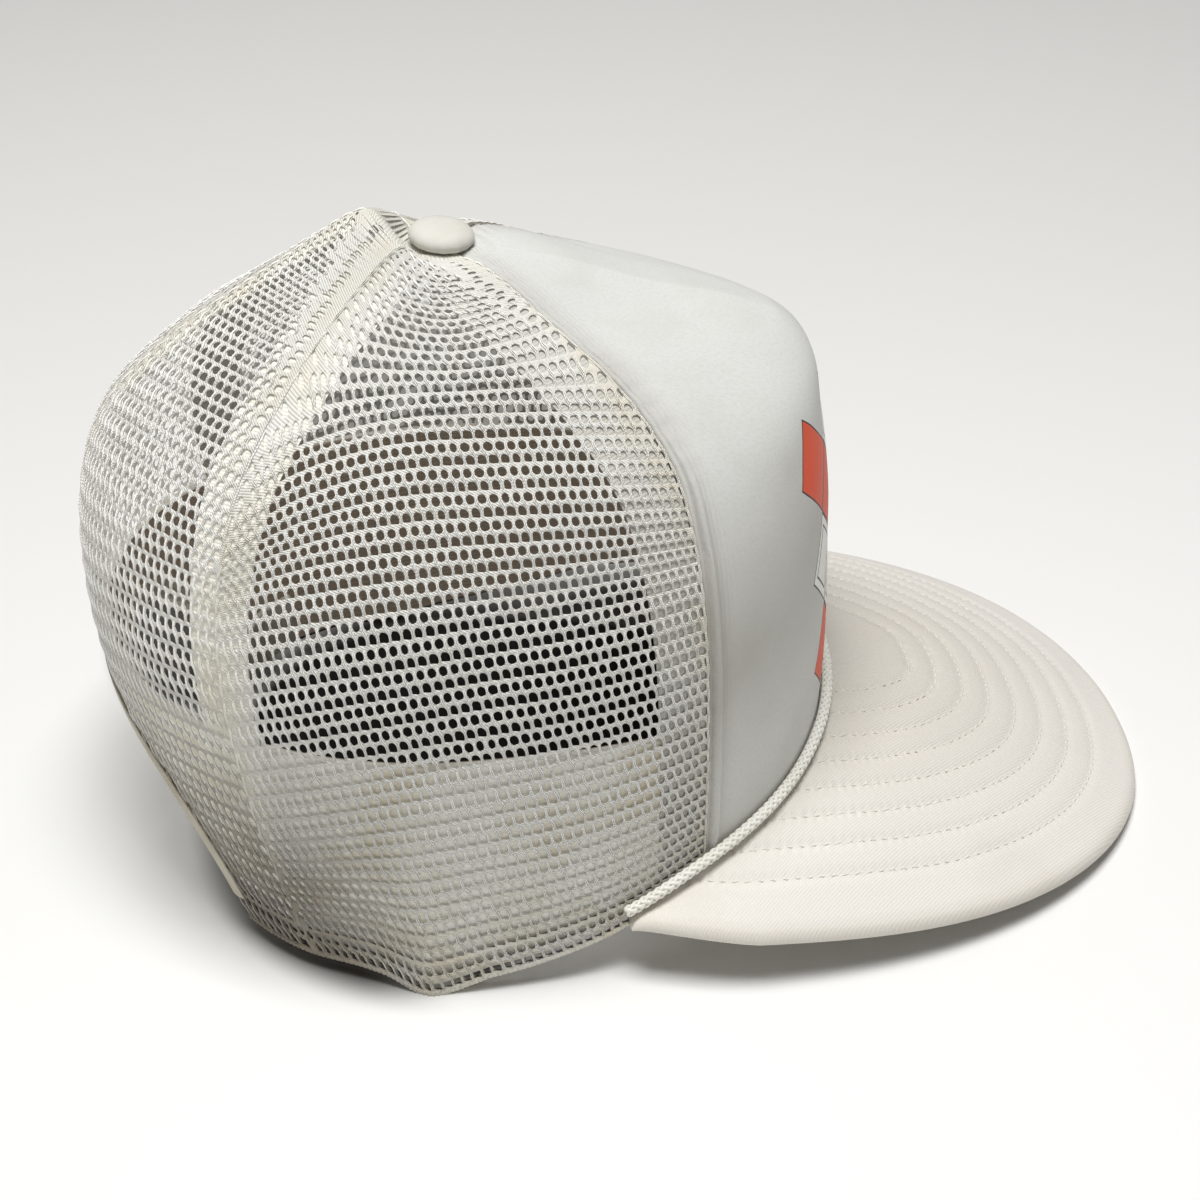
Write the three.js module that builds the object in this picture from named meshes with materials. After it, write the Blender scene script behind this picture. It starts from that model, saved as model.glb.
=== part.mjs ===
import * as THREE from 'three';

// Trucker cap lying on its hem, in millimetres, +Z up. The brim points along -Y and the wearer's
// right is -X. Angles run round the crown in degrees, from 0 at the middle of the brim through 90
// at the side to 180 at the rear, and are negative on the wearer's right.
// A level says how high on the crown a point is: 0 at the hem, 10 at the middle of the top.

// Whole cap
const crownCentreY = 46.5; // puts the middle of the cap's length at Y = 0
const pieceGap = 0.4; // between neighbouring pieces

// Crown, a row for each ring from the hem to the top
const ringColumns = ['frontReach', 'frontHeight', 'sideReach', 'sideHeight', 'backReach', 'backHeight',
  'frontSquareness', 'backSquareness'];
const ringRows = [
  [94.0, 37.0, 80.5, 5.0, 75.0, 7.5, 2.30, 2.10],
  [94.5, 59.0, 80.5, 30.5, 82.5, 30.5, 2.30, 2.10],
  [94.5, 80.0, 79.0, 57.0, 88.5, 55.0, 2.30, 2.10],
  [93.5, 100.5, 76.0, 82.5, 91.5, 81.5, 2.30, 2.10],
  [91.5, 118.0, 70.0, 105.5, 89.5, 106.5, 2.25, 2.00],
  [88.0, 131.0, 59.0, 125.5, 80.5, 127.5, 2.15, 1.85],
  [73.0, 139.5, 43.0, 142.5, 61.0, 145.5, 2.00, 1.70],
  [45.5, 148.0, 26.5, 155.0, 38.0, 160.5, 1.90, 1.65],
  [20.0, 157.5, 13.5, 162.0, 17.5, 172.5, 1.95, 1.80],
  [9.0, 162.0, 7.5, 162.5, 9.0, 163.5, 2.00, 2.00],
  [0.0, 162.0, 0.0, 162.0, 0.0, 162.0, 2.00, 2.00],
];
const topLevel = ringRows.length - 1;
const panelTopLevel = 9.5; // the panels stop round a small hole under the button

// Height of the hem round the crown: it rests on a low corner beside each ear
const hemColumns = ['angle', 'height'];
const hemRows = [[0, 37], [20, 34.5], [40, 29], [60, 21.5], [75, 12], [90, 4.5], [99, 0], [103, 0], [110, 4],
  [126, 5], [150, 6.5], [180, 7.5]];
const hemReachesLevel = 2.25; // above this the rings alone set the height

// Seams between the panels, as angles that change with the level
const seamColumns = ['level', 'frontSide', 'sideBack'];
const seamRows = [[0, 58.5, 124], [1.5, 58.3, 127.5], [4, 58, 130], [7, 60, 133], [9.5, 63, 130]];

// Fold along the middle of the front panel's top
const crest = { height: 3, halfWidth: 21, fromLevel: 4.5, toLevel: 8.6, fade: 1.1 };

// Sheets, seen from outside inwards
const foamThick = 3;
const netThick = 1.2;
const netHem = { thick: 2.4, upToLevel: 0.3 };
const tapeClear = 0.85; // clear of the net where its flats cut inside the curve
const tapeDepth = netThick + tapeClear;
const tapeThick = 0.8;
const bandDepth = foamThick + pieceGap;
const bandThick = 1.5;

// Gaps cut through each net panel, and the strips of net left round them
const netGaps = { across: 5, up: 6, edgeStrip: 1.0, bar: 0.75, gap: 1.35, parts: 2, crowding: 0.92 };

// Seam tapes on the inside
const tape = { halfWidth: 7, maxHalfAngle: 17, fromLevel: 0.5, toLevel: 7.8, aboveArch: 0.06 };

// Sweatband, whose upper edge stands at this level at the front, side and back
const bandTop = { front: 1.2, side: 2.42, back: 2.55 };

// Arch over the strap at the rear
const arch = { halfAngle: 38, topLevel: 2.02, roundness: 2.6, clearAngle: 2, clearLevel: 0.07 };
const binding = { proud: 0.7, wraps: 6, width: 2.4, endShare: 0.995, steps: 30 };

// Strap across the arch
const strap = { thick: 1.8, bottom: 9, top: 26, endAngle: 128, seatedTo: 138, seatLevel: 0.12, seatDepth: 5.7,
  straightHalf: 24, straightReach: 60.5, steps: 22 };

// Brim, its outline turned about a point in front of the crown's middle
const brim = { half: 88.5, turnY: -65, tip: -184.5, squareness: 2.23, thick: 3.6, edgeThick: 1.8,
  edgeRound: 1.6, rise: 2.6, fullRiseReach: 60, cornerX: 81.5, cornerY: -34, cornerAngle: 112,
  cornerEase: 1.6, rootAngle: 72 };
const brimEdgeColumns = ['angle', 'height'];
const brimEdgeRows = [[0, 0], [12, 0], [30, 1.8], [60, 6.3], [90, 12.5], [112, 15.5]];

// Rope laid in the corner between crown and brim
const rope = { radius: 1.6, endAngle: 73, standsOff: 2.0, above: 5.8, endLift: 1.2, sides: 8, steps: 44,
  bends: 24 };

// Cells of the grids that the sheets are made on, [columns, rows]
const grids = { front: [22, 16], tape: [2, 12], band: [72, 2], brim: [36, 5] };

// Fabric covered button on top
const button = { radius: 8, thick: 5.6, seat: 163.05, tilt: 5, shankRadius: 2.6, shankLength: 4.6,
  sides: 24 };
const domeColumns = ['radiusShare', 'heightShare'];
const domeRows = [[0.85, 0], [1, 0.3], [0.93, 0.6], [0.7, 0.85], [0.38, 0.97], [0, 1]];

const named = (columns, rows) => rows.map(
  (row) => Object.fromEntries(columns.map((name, k) => [name, row[k]])),
);
const rings = named(ringColumns, ringRows);
const hem = named(hemColumns, hemRows);
const seams = named(seamColumns, seamRows);
const brimEdge = named(brimEdgeColumns, brimEdgeRows);
const dome = named(domeColumns, domeRows);

const radians = THREE.MathUtils.degToRad;
const clamp = THREE.MathUtils.clamp;
const mix = THREE.MathUtils.lerp;
const signedPower = (value, power) => Math.sign(value) * Math.abs(value) ** power;

// A smooth line through a table, level at both of its ends
function along(table, key, name, at) {
  const last = table.length - 1;
  let k = 0;
  while (k < last - 1 && at > table[k + 1][key]) k += 1;
  const slope = (m) => (m === 0 || m === last ? 0
    : (table[m + 1][name] - table[m - 1][name]) / (table[m + 1][key] - table[m - 1][key]));
  const step = table[k + 1][key] - table[k][key];
  const f = clamp((at - table[k][key]) / step, 0, 1);
  const [a, b] = [table[k][name], table[k + 1][name]];
  return (1 + 2 * f) * (1 - f) ** 2 * a + f * (1 - f) ** 2 * step * slope(k)
    + f * f * (3 - 2 * f) * b + f * f * (f - 1) * step * slope(k + 1);
}

// Straight steps through a table
function stepped(table, key, name, at) {
  let k = 0;
  while (k < table.length - 2 && at > table[k + 1][key]) k += 1;
  const f = clamp((at - table[k][key]) / (table[k + 1][key] - table[k][key]), 0, 1);
  return mix(table[k][name], table[k + 1][name], f);
}

// The ring at a level, by a Catmull-Rom curve through the ring table
function ringAt(level) {
  const k = clamp(Math.floor(level), 0, topLevel - 1);
  const f = level - k;
  const ring = {};
  for (const name of ringColumns) {
    const value = (m) => {
      if (m < 0) return 2 * rings[0][name] - rings[1][name];
      if (m > topLevel) return 2 * rings[topLevel][name] - rings[topLevel - 1][name];
      return rings[m][name];
    };
    const [a, b, c, d] = [value(k - 1), value(k), value(k + 1), value(k + 2)];
    ring[name] = 0.5 * (2 * b + (c - a) * f + (2 * a - 5 * b + 4 * c - d) * f * f
      + (3 * b - a - 3 * c + d) * f ** 3);
  }
  return ring;
}

function ringHeight(ring, angle) {
  const lengthwise = Math.cos(radians(angle)) ** 2;
  const end = Math.abs(angle) < 90 ? ring.frontHeight : ring.backHeight;
  return end * lengthwise + ring.sideHeight * (1 - lengthwise);
}

const hemHeight = (angle) => Math.max(0, along(hem, 'angle', 'height', Math.abs(angle)));

// A point of the crown's outer face
function crownPoint(angle, level) {
  const ring = ringAt(level);
  const [c, s] = [Math.cos(radians(angle)), Math.sin(radians(angle))];
  const atFront = c > 0;
  const power = 2 / (atFront ? ring.frontSquareness : ring.backSquareness);
  const x = ring.sideReach * signedPower(s, power);
  const y = -(atFront ? ring.frontReach : ring.backReach) * signedPower(c, power);
  const hemShare = clamp(1 - level / hemReachesLevel, 0, 1) ** 2;
  let z = ringHeight(ring, angle) + (hemHeight(angle) - ringHeight(rings[0], angle)) * hemShare;
  const fadeIn = clamp((level - crest.fromLevel) / crest.fade, 0, 1);
  const fadeOut = clamp((crest.toLevel - level) / crest.fade, 0, 1);
  z += crest.height * clamp(1 - Math.abs(x) / crest.halfWidth, 0, 1) * fadeIn * fadeOut * clamp(2 * c, 0, 1);
  return new THREE.Vector3(x, y + crownCentreY, z);
}

function crownNormal(angle, level) {
  const [turn, climb] = [0.6, 0.03];
  const low = Math.max(level, climb);
  const round = crownPoint(angle + turn, low).sub(crownPoint(angle - turn, low));
  const up = crownPoint(angle, low + climb).sub(crownPoint(angle, low - climb));
  return round.cross(up).normalize();
}

// The same point moved in from the outer face; the hem itself is cut level
function crownInside(angle, level, depth) {
  const point = crownPoint(angle, level);
  const height = point.z;
  point.addScaledVector(crownNormal(angle, level), -depth);
  if (level === 0) point.z = height;
  return point;
}

// An angle shifted by a distance round the crown
function shifted(angle, level, distance) {
  const point = crownPoint(angle, level);
  return angle + THREE.MathUtils.radToDeg(distance / Math.hypot(point.x, point.y - crownCentreY));
}

const frontSeam = (level) => stepped(seams, 'level', 'frontSide', level);
const backSeam = (level) => stepped(seams, 'level', 'sideBack', level);

// Level of the arch's outline at an angle, 0 beside it. The sheets it cuts stop short of the binding.
function archLevel(angle, widerBy = 0, higherBy = 0) {
  const share = (180 - Math.abs(angle)) / (arch.halfAngle + widerBy);
  return share >= 1 ? 0 : (arch.topLevel + higherBy) * Math.sqrt(1 - share ** arch.roundness);
}
const archEdgeLevel = (angle) => archLevel(angle, arch.clearAngle, arch.clearLevel);

// Level of the sweatband's upper edge
function bandTopLevel(angle) {
  const c = Math.cos(radians(angle));
  return mix(bandTop.side, c > 0 ? bandTop.front : bandTop.back, c * c);
}

// A closed sheet over a grid. outer and inner give its two faces, isOpen the cells cut through.
// A joined sheet's last column meets its first.
function sheet(columns, rows, outer, inner, { isOpen = () => false, joined = false } = {}) {
  const position = [];
  const index = [];
  const lines = joined ? columns : columns + 1;
  for (const face of [outer, inner]) {
    for (let i = 0; i < lines; i += 1) {
      for (let j = 0; j <= rows; j += 1) position.push(...face(i, j).toArray());
    }
  }
  const at = (face, i, j) => (face * lines + (i % lines)) * (rows + 1) + j;
  const quad = (a, b, c, d) => index.push(a, b, c, a, c, d);
  const solid = (i, j) => (joined || (i >= 0 && i < columns)) && j >= 0 && j < rows && !isOpen(i, j);
  for (let i = 0; i < columns; i += 1) {
    for (let j = 0; j < rows; j += 1) {
      if (!solid(i, j)) continue;
      quad(at(0, i, j), at(0, i + 1, j), at(0, i + 1, j + 1), at(0, i, j + 1));
      quad(at(1, i, j), at(1, i, j + 1), at(1, i + 1, j + 1), at(1, i + 1, j));
      if (!solid(i, j - 1)) quad(at(0, i, j), at(1, i, j), at(1, i + 1, j), at(0, i + 1, j));
      if (!solid(i, j + 1)) quad(at(0, i + 1, j + 1), at(1, i + 1, j + 1), at(1, i, j + 1), at(0, i, j + 1));
      if (!solid(i - 1, j)) quad(at(0, i, j + 1), at(1, i, j + 1), at(1, i, j), at(0, i, j));
      if (!solid(i + 1, j)) quad(at(0, i + 1, j), at(1, i + 1, j), at(1, i + 1, j + 1), at(0, i + 1, j + 1));
    }
  }
  const geometry = new THREE.BufferGeometry();
  geometry.setAttribute('position', new THREE.Float32BufferAttribute(position, 3));
  geometry.setIndex(index);
  geometry.computeVertexNormals();
  return geometry;
}

// Grid lines for a run of gaps: edge strip, gap, bar, gap and so on to the other edge strip.
// Each gap is split into parts, so that its rim follows the curve.
function gapLines(count) {
  const widths = [netGaps.edgeStrip];
  const open = [false];
  for (let k = 0; k < count; k += 1) {
    for (let m = 0; m < netGaps.parts; m += 1) {
      widths.push(netGaps.gap / netGaps.parts);
      open.push(true);
    }
    widths.push(k < count - 1 ? netGaps.bar : netGaps.edgeStrip);
    open.push(false);
  }
  const total = widths.reduce((sum, width) => sum + width, 0);
  let reached = 0;
  const lines = [0, ...widths.map((width) => { reached += width; return reached / total; })];
  return { lines, open };
}

// A net panel between two seams, cut through with rows of gaps
function netPanel(startAt, endAt, lowest) {
  const across = gapLines(netGaps.across);
  const up = gapLines(netGaps.up);
  const place = (i, j) => {
    const low = lowest(mix(startAt(0), endAt(0), across.lines[i]));
    const level = mix(low, panelTopLevel, up.lines[j] ** netGaps.crowding);
    return [mix(startAt(level), endAt(level), across.lines[i]), level];
  };
  const thickAt = (level) => (level <= netHem.upToLevel ? netHem.thick : netThick);
  const inner = (angle, level) => crownInside(angle, level, thickAt(level));
  return sheet(across.open.length, up.open.length, (i, j) => crownPoint(...place(i, j)),
    (i, j) => inner(...place(i, j)), { isOpen: (i, j) => across.open[i] && up.open[j] });
}

// The foam front, one piece from ear to ear
function frontPanel() {
  const [columns, rows] = grids.front;
  const place = (i, j) => {
    const level = panelTopLevel * (j / rows);
    const edge = shifted(frontSeam(level), level, -pieceGap / 2);
    return [edge * (2 * (i / columns) - 1), level];
  };
  return sheet(columns, rows, (i, j) => crownPoint(...place(i, j)),
    (i, j) => crownInside(...place(i, j), foamThick));
}

// A tape behind a seam, from one angle to another
function seamTape(centre, startShare, endShare, fromLevel) {
  const [columns, rows] = grids.tape;
  const place = (i, j) => {
    const level = mix(fromLevel, tape.toLevel, j / rows);
    const middle = centre(level);
    const half = Math.min(shifted(middle, level, tape.halfWidth) - middle, tape.maxHalfAngle);
    return [middle + half * mix(startShare, endShare, i / columns), level];
  };
  return sheet(columns, rows, (i, j) => crownInside(...place(i, j), tapeDepth),
    (i, j) => crownInside(...place(i, j), tapeDepth + tapeThick));
}

// The sweatband runs round the inside from one side of the arch over it to the other
function sweatband() {
  const [columns, rows] = grids.band;
  const place = (i, j) => {
    const angle = mix(-180, 180, i / columns);
    return [angle, mix(archEdgeLevel(angle), bandTopLevel(angle), j / rows)];
  };
  const face = (depth) => (i, j) => crownInside(...place(i, j), depth);
  return sheet(columns, rows, face(bandDepth), face(bandDepth + bandThick), { joined: true });
}

// The binding folded over the edge of the arch, a bar that stands a little proud of the net
function archBinding() {
  const columns = binding.steps;
  const path = (i) => {
    const share = binding.endShare * Math.cos(Math.PI * (i / columns));
    const angle = 180 - arch.halfAngle * share;
    return [angle, archLevel(angle > 180 ? 360 - angle : angle)];
  };
  const frame = (i) => {
    const here = crownInside(...path(i), 0);
    const before = crownPoint(...path(Math.max(i - 1, 0)));
    const after = crownPoint(...path(Math.min(i + 1, columns)));
    const normal = crownNormal(...path(i));
    const intoArch = after.sub(before).normalize().cross(normal).normalize();
    return { here, normal, intoArch };
  };
  const point = (i, j, aside) => {
    const { here, normal, intoArch } = frame(i);
    const outwards = mix(binding.proud, binding.proud - binding.wraps, j);
    return here.addScaledVector(normal, outwards).addScaledVector(intoArch, aside);
  };
  return sheet(columns, 1, (i, j) => point(i, j, pieceGap), (i, j) => point(i, j, pieceGap + binding.width));
}

// The strap, nearly straight across the arch and seated inside the band at both ends
function snapStrap() {
  const seat = (angle) => crownInside(angle, strap.seatLevel, strap.seatDepth).setZ(0);
  const middle = (x) => new THREE.Vector3(x, crownCentreY + strap.straightReach, 0);
  const plan = new THREE.CatmullRomCurve3([
    seat(strap.endAngle), seat(strap.seatedTo), middle(strap.straightHalf),
    middle(-strap.straightHalf), seat(-strap.seatedTo), seat(-strap.endAngle),
  ], false, 'centripetal');
  const face = (depth) => (i, j) => {
    const tangent = plan.getTangent(i / strap.steps);
    const inwards = new THREE.Vector3(-tangent.y, tangent.x, 0).normalize();
    const height = mix(strap.bottom, strap.top, j);
    return plan.getPoint(i / strap.steps).addScaledVector(inwards, depth).setZ(height);
  };
  return sheet(strap.steps, 1, face(0), face(strap.thick));
}

// Edge of the brim, at an angle about its own turning point
function brimEdgePoint(angle) {
  const size = Math.abs(angle);
  const [c, s] = [Math.cos(radians(angle)), Math.sin(radians(angle))];
  const point = new THREE.Vector3();
  if (size <= 90) {
    point.x = brim.half * signedPower(s, 2 / brim.squareness);
    point.y = mix(brim.turnY, brim.tip, Math.abs(c) ** (2 / brim.squareness));
  } else {
    const back = (size - 90) / (brim.cornerAngle - 90);
    point.x = Math.sign(angle) * mix(brim.half, brim.cornerX, back ** brim.cornerEase);
    point.y = mix(brim.turnY, brim.cornerY, back);
  }
  point.y += crownCentreY;
  point.z = Math.max(0, along(brimEdge, 'angle', 'height', size));
  return point;
}

// A stiff brim, ruled from the crown's hem to its edge and slightly arched on the way. Its upper face
// rounds down to the edge.
function brimPiece() {
  const [columns, rows] = grids.brim;
  const roundFrom = rows - 1;
  const place = (i, j) => {
    const across = 2 * (i / columns) - 1;
    const root = crownInside(brim.rootAngle * across, 0, -pieceGap);
    const edge = brimEdgePoint(brim.cornerAngle * across);
    const reach = root.distanceTo(edge);
    const share = j < roundFrom ? (j / roundFrom) * (1 - brim.edgeRound / reach)
      : 1 - ((rows - j) * brim.edgeRound) / reach;
    const point = root.lerp(edge, share);
    point.z += brim.rise * Math.sin(Math.PI * share) * clamp(reach / brim.fullRiseReach, 0, 1);
    return point;
  };
  const upperFace = (i, j) => {
    const point = place(i, j);
    point.z += j === rows ? brim.edgeThick : brim.thick;
    return point;
  };
  return sheet(columns, rows, place, upperFace);
}

// The rope, a tube along the corner between crown and brim
function ropeTrim() {
  const points = [];
  for (let k = 0; k <= rope.bends; k += 1) {
    const angle = mix(-rope.endAngle, rope.endAngle, k / rope.bends);
    const point = crownPoint(angle, 0);
    const normal = crownNormal(angle, 0).setZ(0).normalize();
    point.addScaledVector(normal, rope.standsOff);
    point.z += rope.above + rope.endLift * (angle / rope.endAngle) ** 4;
    points.push(point);
  }
  const circle = new THREE.Shape();
  for (let k = 0; k < rope.sides; k += 1) {
    const turn = (2 * Math.PI * k) / rope.sides;
    const [x, y] = [rope.radius * Math.cos(turn), rope.radius * Math.sin(turn)];
    if (k === 0) circle.moveTo(x, y);
    else circle.lineTo(x, y);
  }
  circle.closePath();
  return new THREE.ExtrudeGeometry(circle, {
    steps: rope.steps,
    bevelEnabled: false,
    extrudePath: new THREE.CatmullRomCurve3(points, false, 'centripetal'),
  });
}

// The button, a flat dome on a short shank through the hole that the panels leave
function topButton() {
  const [stem, drop] = [button.shankRadius, -button.shankLength];
  const shank = [[0, drop], [stem, drop], [stem, 0]];
  const cover = dome.map((row) => [row.radiusShare * button.radius, row.heightShare * button.thick]);
  const profile = [...shank, ...cover].map(([x, y]) => new THREE.Vector2(x, y));
  const geometry = new THREE.LatheGeometry(profile, button.sides);
  geometry.rotateX(Math.PI / 2);
  return geometry;
}

const cap = new THREE.Group();

function add(name, geometry, colour, roughness) {
  const material = new THREE.MeshStandardMaterial({ color: colour, roughness, metalness: 0 });
  const mesh = new THREE.Mesh(geometry, material);
  mesh.name = name;
  cap.add(mesh);
  return mesh;
}

const foamWhite = 0xe9e9e6;
const netWhite = 0xecead9;
const tapeCream = 0xe6e2cf;
const bandCream = 0xdcd6c2;
const brimCream = 0xe4dfd8;
const ropeCream = 0xe5e3cb;
const bindingYellow = 0xd9cfa6;
const strapWhite = 0xe8e6dc;

add('front_panel', frontPanel(), foamWhite, 0.8);

const inFrom = (seam, distance) => (level) => shifted(seam(level), level, distance);
const negative = (seam) => (level) => -seam(level);
const half = pieceGap / 2;
const rear = () => 180;
const alwaysHem = () => 0;
const sideLeft = [inFrom(frontSeam, half), inFrom(backSeam, -half)];
const sideRight = [inFrom(negative(backSeam), half), inFrom(negative(frontSeam), -half)];
const backLeft = [inFrom(backSeam, half), inFrom(rear, -half)];
const backRight = [inFrom(negative(rear), half), inFrom(negative(backSeam), -half)];
add('mesh_side_left', netPanel(...sideLeft, alwaysHem), netWhite, 0.7);
add('mesh_side_right', netPanel(...sideRight, alwaysHem), netWhite, 0.7);
add('mesh_back_left', netPanel(...backLeft, archEdgeLevel), netWhite, 0.7);
add('mesh_back_right', netPanel(...backRight, archEdgeLevel), netWhite, 0.7);

// The front tapes lie wholly behind the net, from the foam's edge back, in shares of a tape's half width
const [besideFoam, fullWidth] = [0.1, 1.75];
add('front_seam_tape_left', seamTape(frontSeam, besideFoam, fullWidth, tape.fromLevel), tapeCream, 0.85);
add('front_seam_tape_right', seamTape(negative(frontSeam), -fullWidth, -besideFoam, tape.fromLevel),
  tapeCream, 0.85);
add('side_seam_tape_left', seamTape(backSeam, -1, 1, tape.fromLevel), tapeCream, 0.85);
add('side_seam_tape_right', seamTape(negative(backSeam), -1, 1, tape.fromLevel), tapeCream, 0.85);
add('back_seam_tape', seamTape(rear, -1, 1, arch.topLevel + tape.aboveArch), tapeCream, 0.85);

add('sweatband', sweatband(), bandCream, 0.85);
add('arch_binding', archBinding(), bindingYellow, 0.8);
add('snap_strap', snapStrap(), strapWhite, 0.45);
add('brim', brimPiece(), brimCream, 0.75);
add('rope_trim', ropeTrim(), ropeCream, 0.6);

const buttonMesh = add('top_button', topButton(), foamWhite, 0.7);
buttonMesh.position.set(0, crownCentreY, button.seat);
buttonMesh.rotation.x = radians(button.tilt);

export default cap;
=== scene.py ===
import math
import random

import bpy
import numpy as np
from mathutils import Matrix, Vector
from mathutils.bvhtree import BVHTree


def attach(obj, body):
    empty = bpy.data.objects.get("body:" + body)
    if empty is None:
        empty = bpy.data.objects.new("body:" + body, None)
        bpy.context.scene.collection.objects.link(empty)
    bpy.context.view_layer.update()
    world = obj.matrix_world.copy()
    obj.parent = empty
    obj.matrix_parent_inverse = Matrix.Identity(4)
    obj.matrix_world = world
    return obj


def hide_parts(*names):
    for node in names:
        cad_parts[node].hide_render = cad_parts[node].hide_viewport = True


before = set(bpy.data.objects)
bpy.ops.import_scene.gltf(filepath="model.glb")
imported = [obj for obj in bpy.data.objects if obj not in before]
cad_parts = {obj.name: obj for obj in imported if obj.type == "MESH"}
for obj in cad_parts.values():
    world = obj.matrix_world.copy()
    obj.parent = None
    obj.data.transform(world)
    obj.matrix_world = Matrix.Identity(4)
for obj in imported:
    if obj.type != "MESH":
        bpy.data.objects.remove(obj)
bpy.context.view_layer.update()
print("frame loaded")

# The cap's own measure, in millimetres. Angle 0 is the middle of the brim and 180 the rear, negative on
# the wearer's right. Level 0 is the hem and 10 the middle of the top.
crown = {
    "centreY": 46.5,
    "panelTop": 9.5,
    "hemReachesLevel": 2.25,
    "crestHeight": 3.0,
    "crestHalfWidth": 21.0,
    "crestFrom": 4.5,
    "crestTo": 8.6,
    "crestFade": 1.1,
    "foldAt": 101.0,
    "foldOut": 1.7,
    "foldWide": 4.5,
    "hollowAt": 115.0,
    "hollowIn": 1.3,
    "hollowWide": 9.0,
    "foldToLevel": 1.9,
}

# frontReach, frontHeight, sideReach, sideHeight, backReach, backHeight, frontSquareness, backSquareness
ringRows = [
    [94.0, 37.0, 80.5, 5.0, 75.0, 7.5, 2.30, 2.10],
    [94.5, 59.0, 80.5, 30.5, 82.5, 30.5, 2.30, 2.10],
    [94.5, 80.0, 79.0, 57.0, 88.5, 55.0, 2.30, 2.10],
    [93.5, 100.5, 76.0, 82.5, 91.5, 81.5, 2.30, 2.10],
    [91.5, 118.0, 70.0, 105.5, 89.5, 106.5, 2.25, 2.00],
    [88.0, 131.0, 59.0, 125.5, 80.5, 127.5, 2.15, 1.85],
    [73.0, 139.5, 43.0, 142.5, 61.0, 145.5, 2.00, 1.70],
    [45.5, 148.0, 26.5, 155.0, 38.0, 160.5, 1.90, 1.65],
    [20.0, 157.5, 13.5, 162.0, 17.5, 172.5, 1.95, 1.80],
    [9.0, 162.0, 7.5, 162.5, 9.0, 163.5, 2.00, 2.00],
    [0.0, 162.0, 0.0, 162.0, 0.0, 162.0, 2.00, 2.00],
]
# angle, height of the hem
hemRows = [
    [0, 37], [20, 34.5], [40, 29], [60, 21.5], [75, 12], [90, 4.5],
    [99, 0], [103, 0], [110, 4], [126, 5], [150, 6.5], [180, 7.5],
]
# level, angle of the seam beside the foam, angle of the seam between side and back
seamRows = [[0, 58.5, 124], [1.5, 58.3, 127.5], [4, 58, 130], [7, 60, 133], [9.5, 63, 130]]
arch = {"halfAngle": 38, "topLevel": 2.02, "roundness": 2.6, "clearAngle": 2, "clearLevel": 0.07}


def clamp01(value):
    return np.clip(value, 0, 1)


def signedPower(value, power):
    return np.sign(value) * np.abs(value) ** power


def smooth(low, high, value):
    share = clamp01((np.asarray(value, float) - low) / (high - low))
    return share * share * (3 - 2 * share)


def dip(value, centre, width):  # a soft bump of height 1
    return np.exp(-(((value - centre) / width) ** 2))


def along(rows, at):
    x, y = np.array(rows, float).T[:2]
    slope = np.zeros(len(x))
    slope[1:-1] = (y[2:] - y[:-2]) / (x[2:] - x[:-2])
    k = np.clip(np.searchsorted(x, at) - 1, 0, len(x) - 2)
    step = x[k + 1] - x[k]
    f = clamp01((at - x[k]) / step)
    low = (1 + 2 * f) * (1 - f) ** 2 * y[k] + f * (1 - f) ** 2 * step * slope[k]
    return low + f * f * (3 - 2 * f) * y[k + 1] + f * f * (f - 1) * step * slope[k + 1]


rings = np.array(ringRows)
rings = np.vstack([2 * rings[0] - rings[1], rings, 2 * rings[-1] - rings[-2]])


def ringAt(level):
    k = np.clip(np.floor(level).astype(int), 0, len(ringRows) - 2)
    f = (level - k)[..., None]
    a, b, c, d = (rings[k + n] for n in range(4))
    curve = 2 * b + (c - a) * f + (2 * a - 5 * b + 4 * c - d) * f ** 2 + (3 * b - a - 3 * c + d) * f ** 3
    return np.moveaxis(0.5 * curve, -1, 0)


def hemHeight(angle):
    return np.maximum(0, along(hemRows, np.abs(angle)))


def crownPoint(angle, level):
    angle, level = np.broadcast_arrays(np.asarray(angle, float), np.asarray(level, float))
    reachFront, highFront, reachSide, highSide, reachBack, highBack, squareFront, squareBack = ringAt(level)
    c, s = np.cos(np.radians(angle)), np.sin(np.radians(angle))
    atFront = c > 0
    power = 2 / np.where(atFront, squareFront, squareBack)
    x = reachSide * signedPower(s, power)
    size = np.abs(angle)
    fold = crown["foldOut"] * np.exp(-np.abs(size - crown["foldAt"]) / crown["foldWide"])
    fold = fold - crown["hollowIn"] * dip(size, crown["hollowAt"], crown["hollowWide"])
    x = x + np.sign(s) * fold * (1 - smooth(0.2, crown["foldToLevel"], level))
    y = -np.where(atFront, reachFront, reachBack) * signedPower(c, power)
    end = np.where(np.abs(angle) < 90, highFront, highBack)
    z = end * c ** 2 + highSide * s ** 2
    firstEnd = np.where(np.abs(angle) < 90, ringRows[0][1], ringRows[0][5])
    hemShare = clamp01(1 - level / crown["hemReachesLevel"]) ** 2
    z = z + (hemHeight(angle) - firstEnd * c ** 2 - ringRows[0][3] * s ** 2) * hemShare
    fade = clamp01((level - crown["crestFrom"]) / crown["crestFade"])
    fade = fade * clamp01((crown["crestTo"] - level) / crown["crestFade"]) * clamp01(2 * c)
    z = z + crown["crestHeight"] * clamp01(1 - np.abs(x) / crown["crestHalfWidth"]) * fade
    return np.stack([x, y + crown["centreY"], z], axis=-1)


def unit(vectors):
    return vectors / np.maximum(np.linalg.norm(vectors, axis=-1, keepdims=True), 1e-9)


def crownNormal(angle, level):
    turn, climb = 0.6, 0.03
    low = np.maximum(level, climb)
    around = crownPoint(angle + turn, low) - crownPoint(angle - turn, low)
    up = crownPoint(angle, low + climb) - crownPoint(angle, low - climb)
    return unit(np.cross(around, up))


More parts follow.
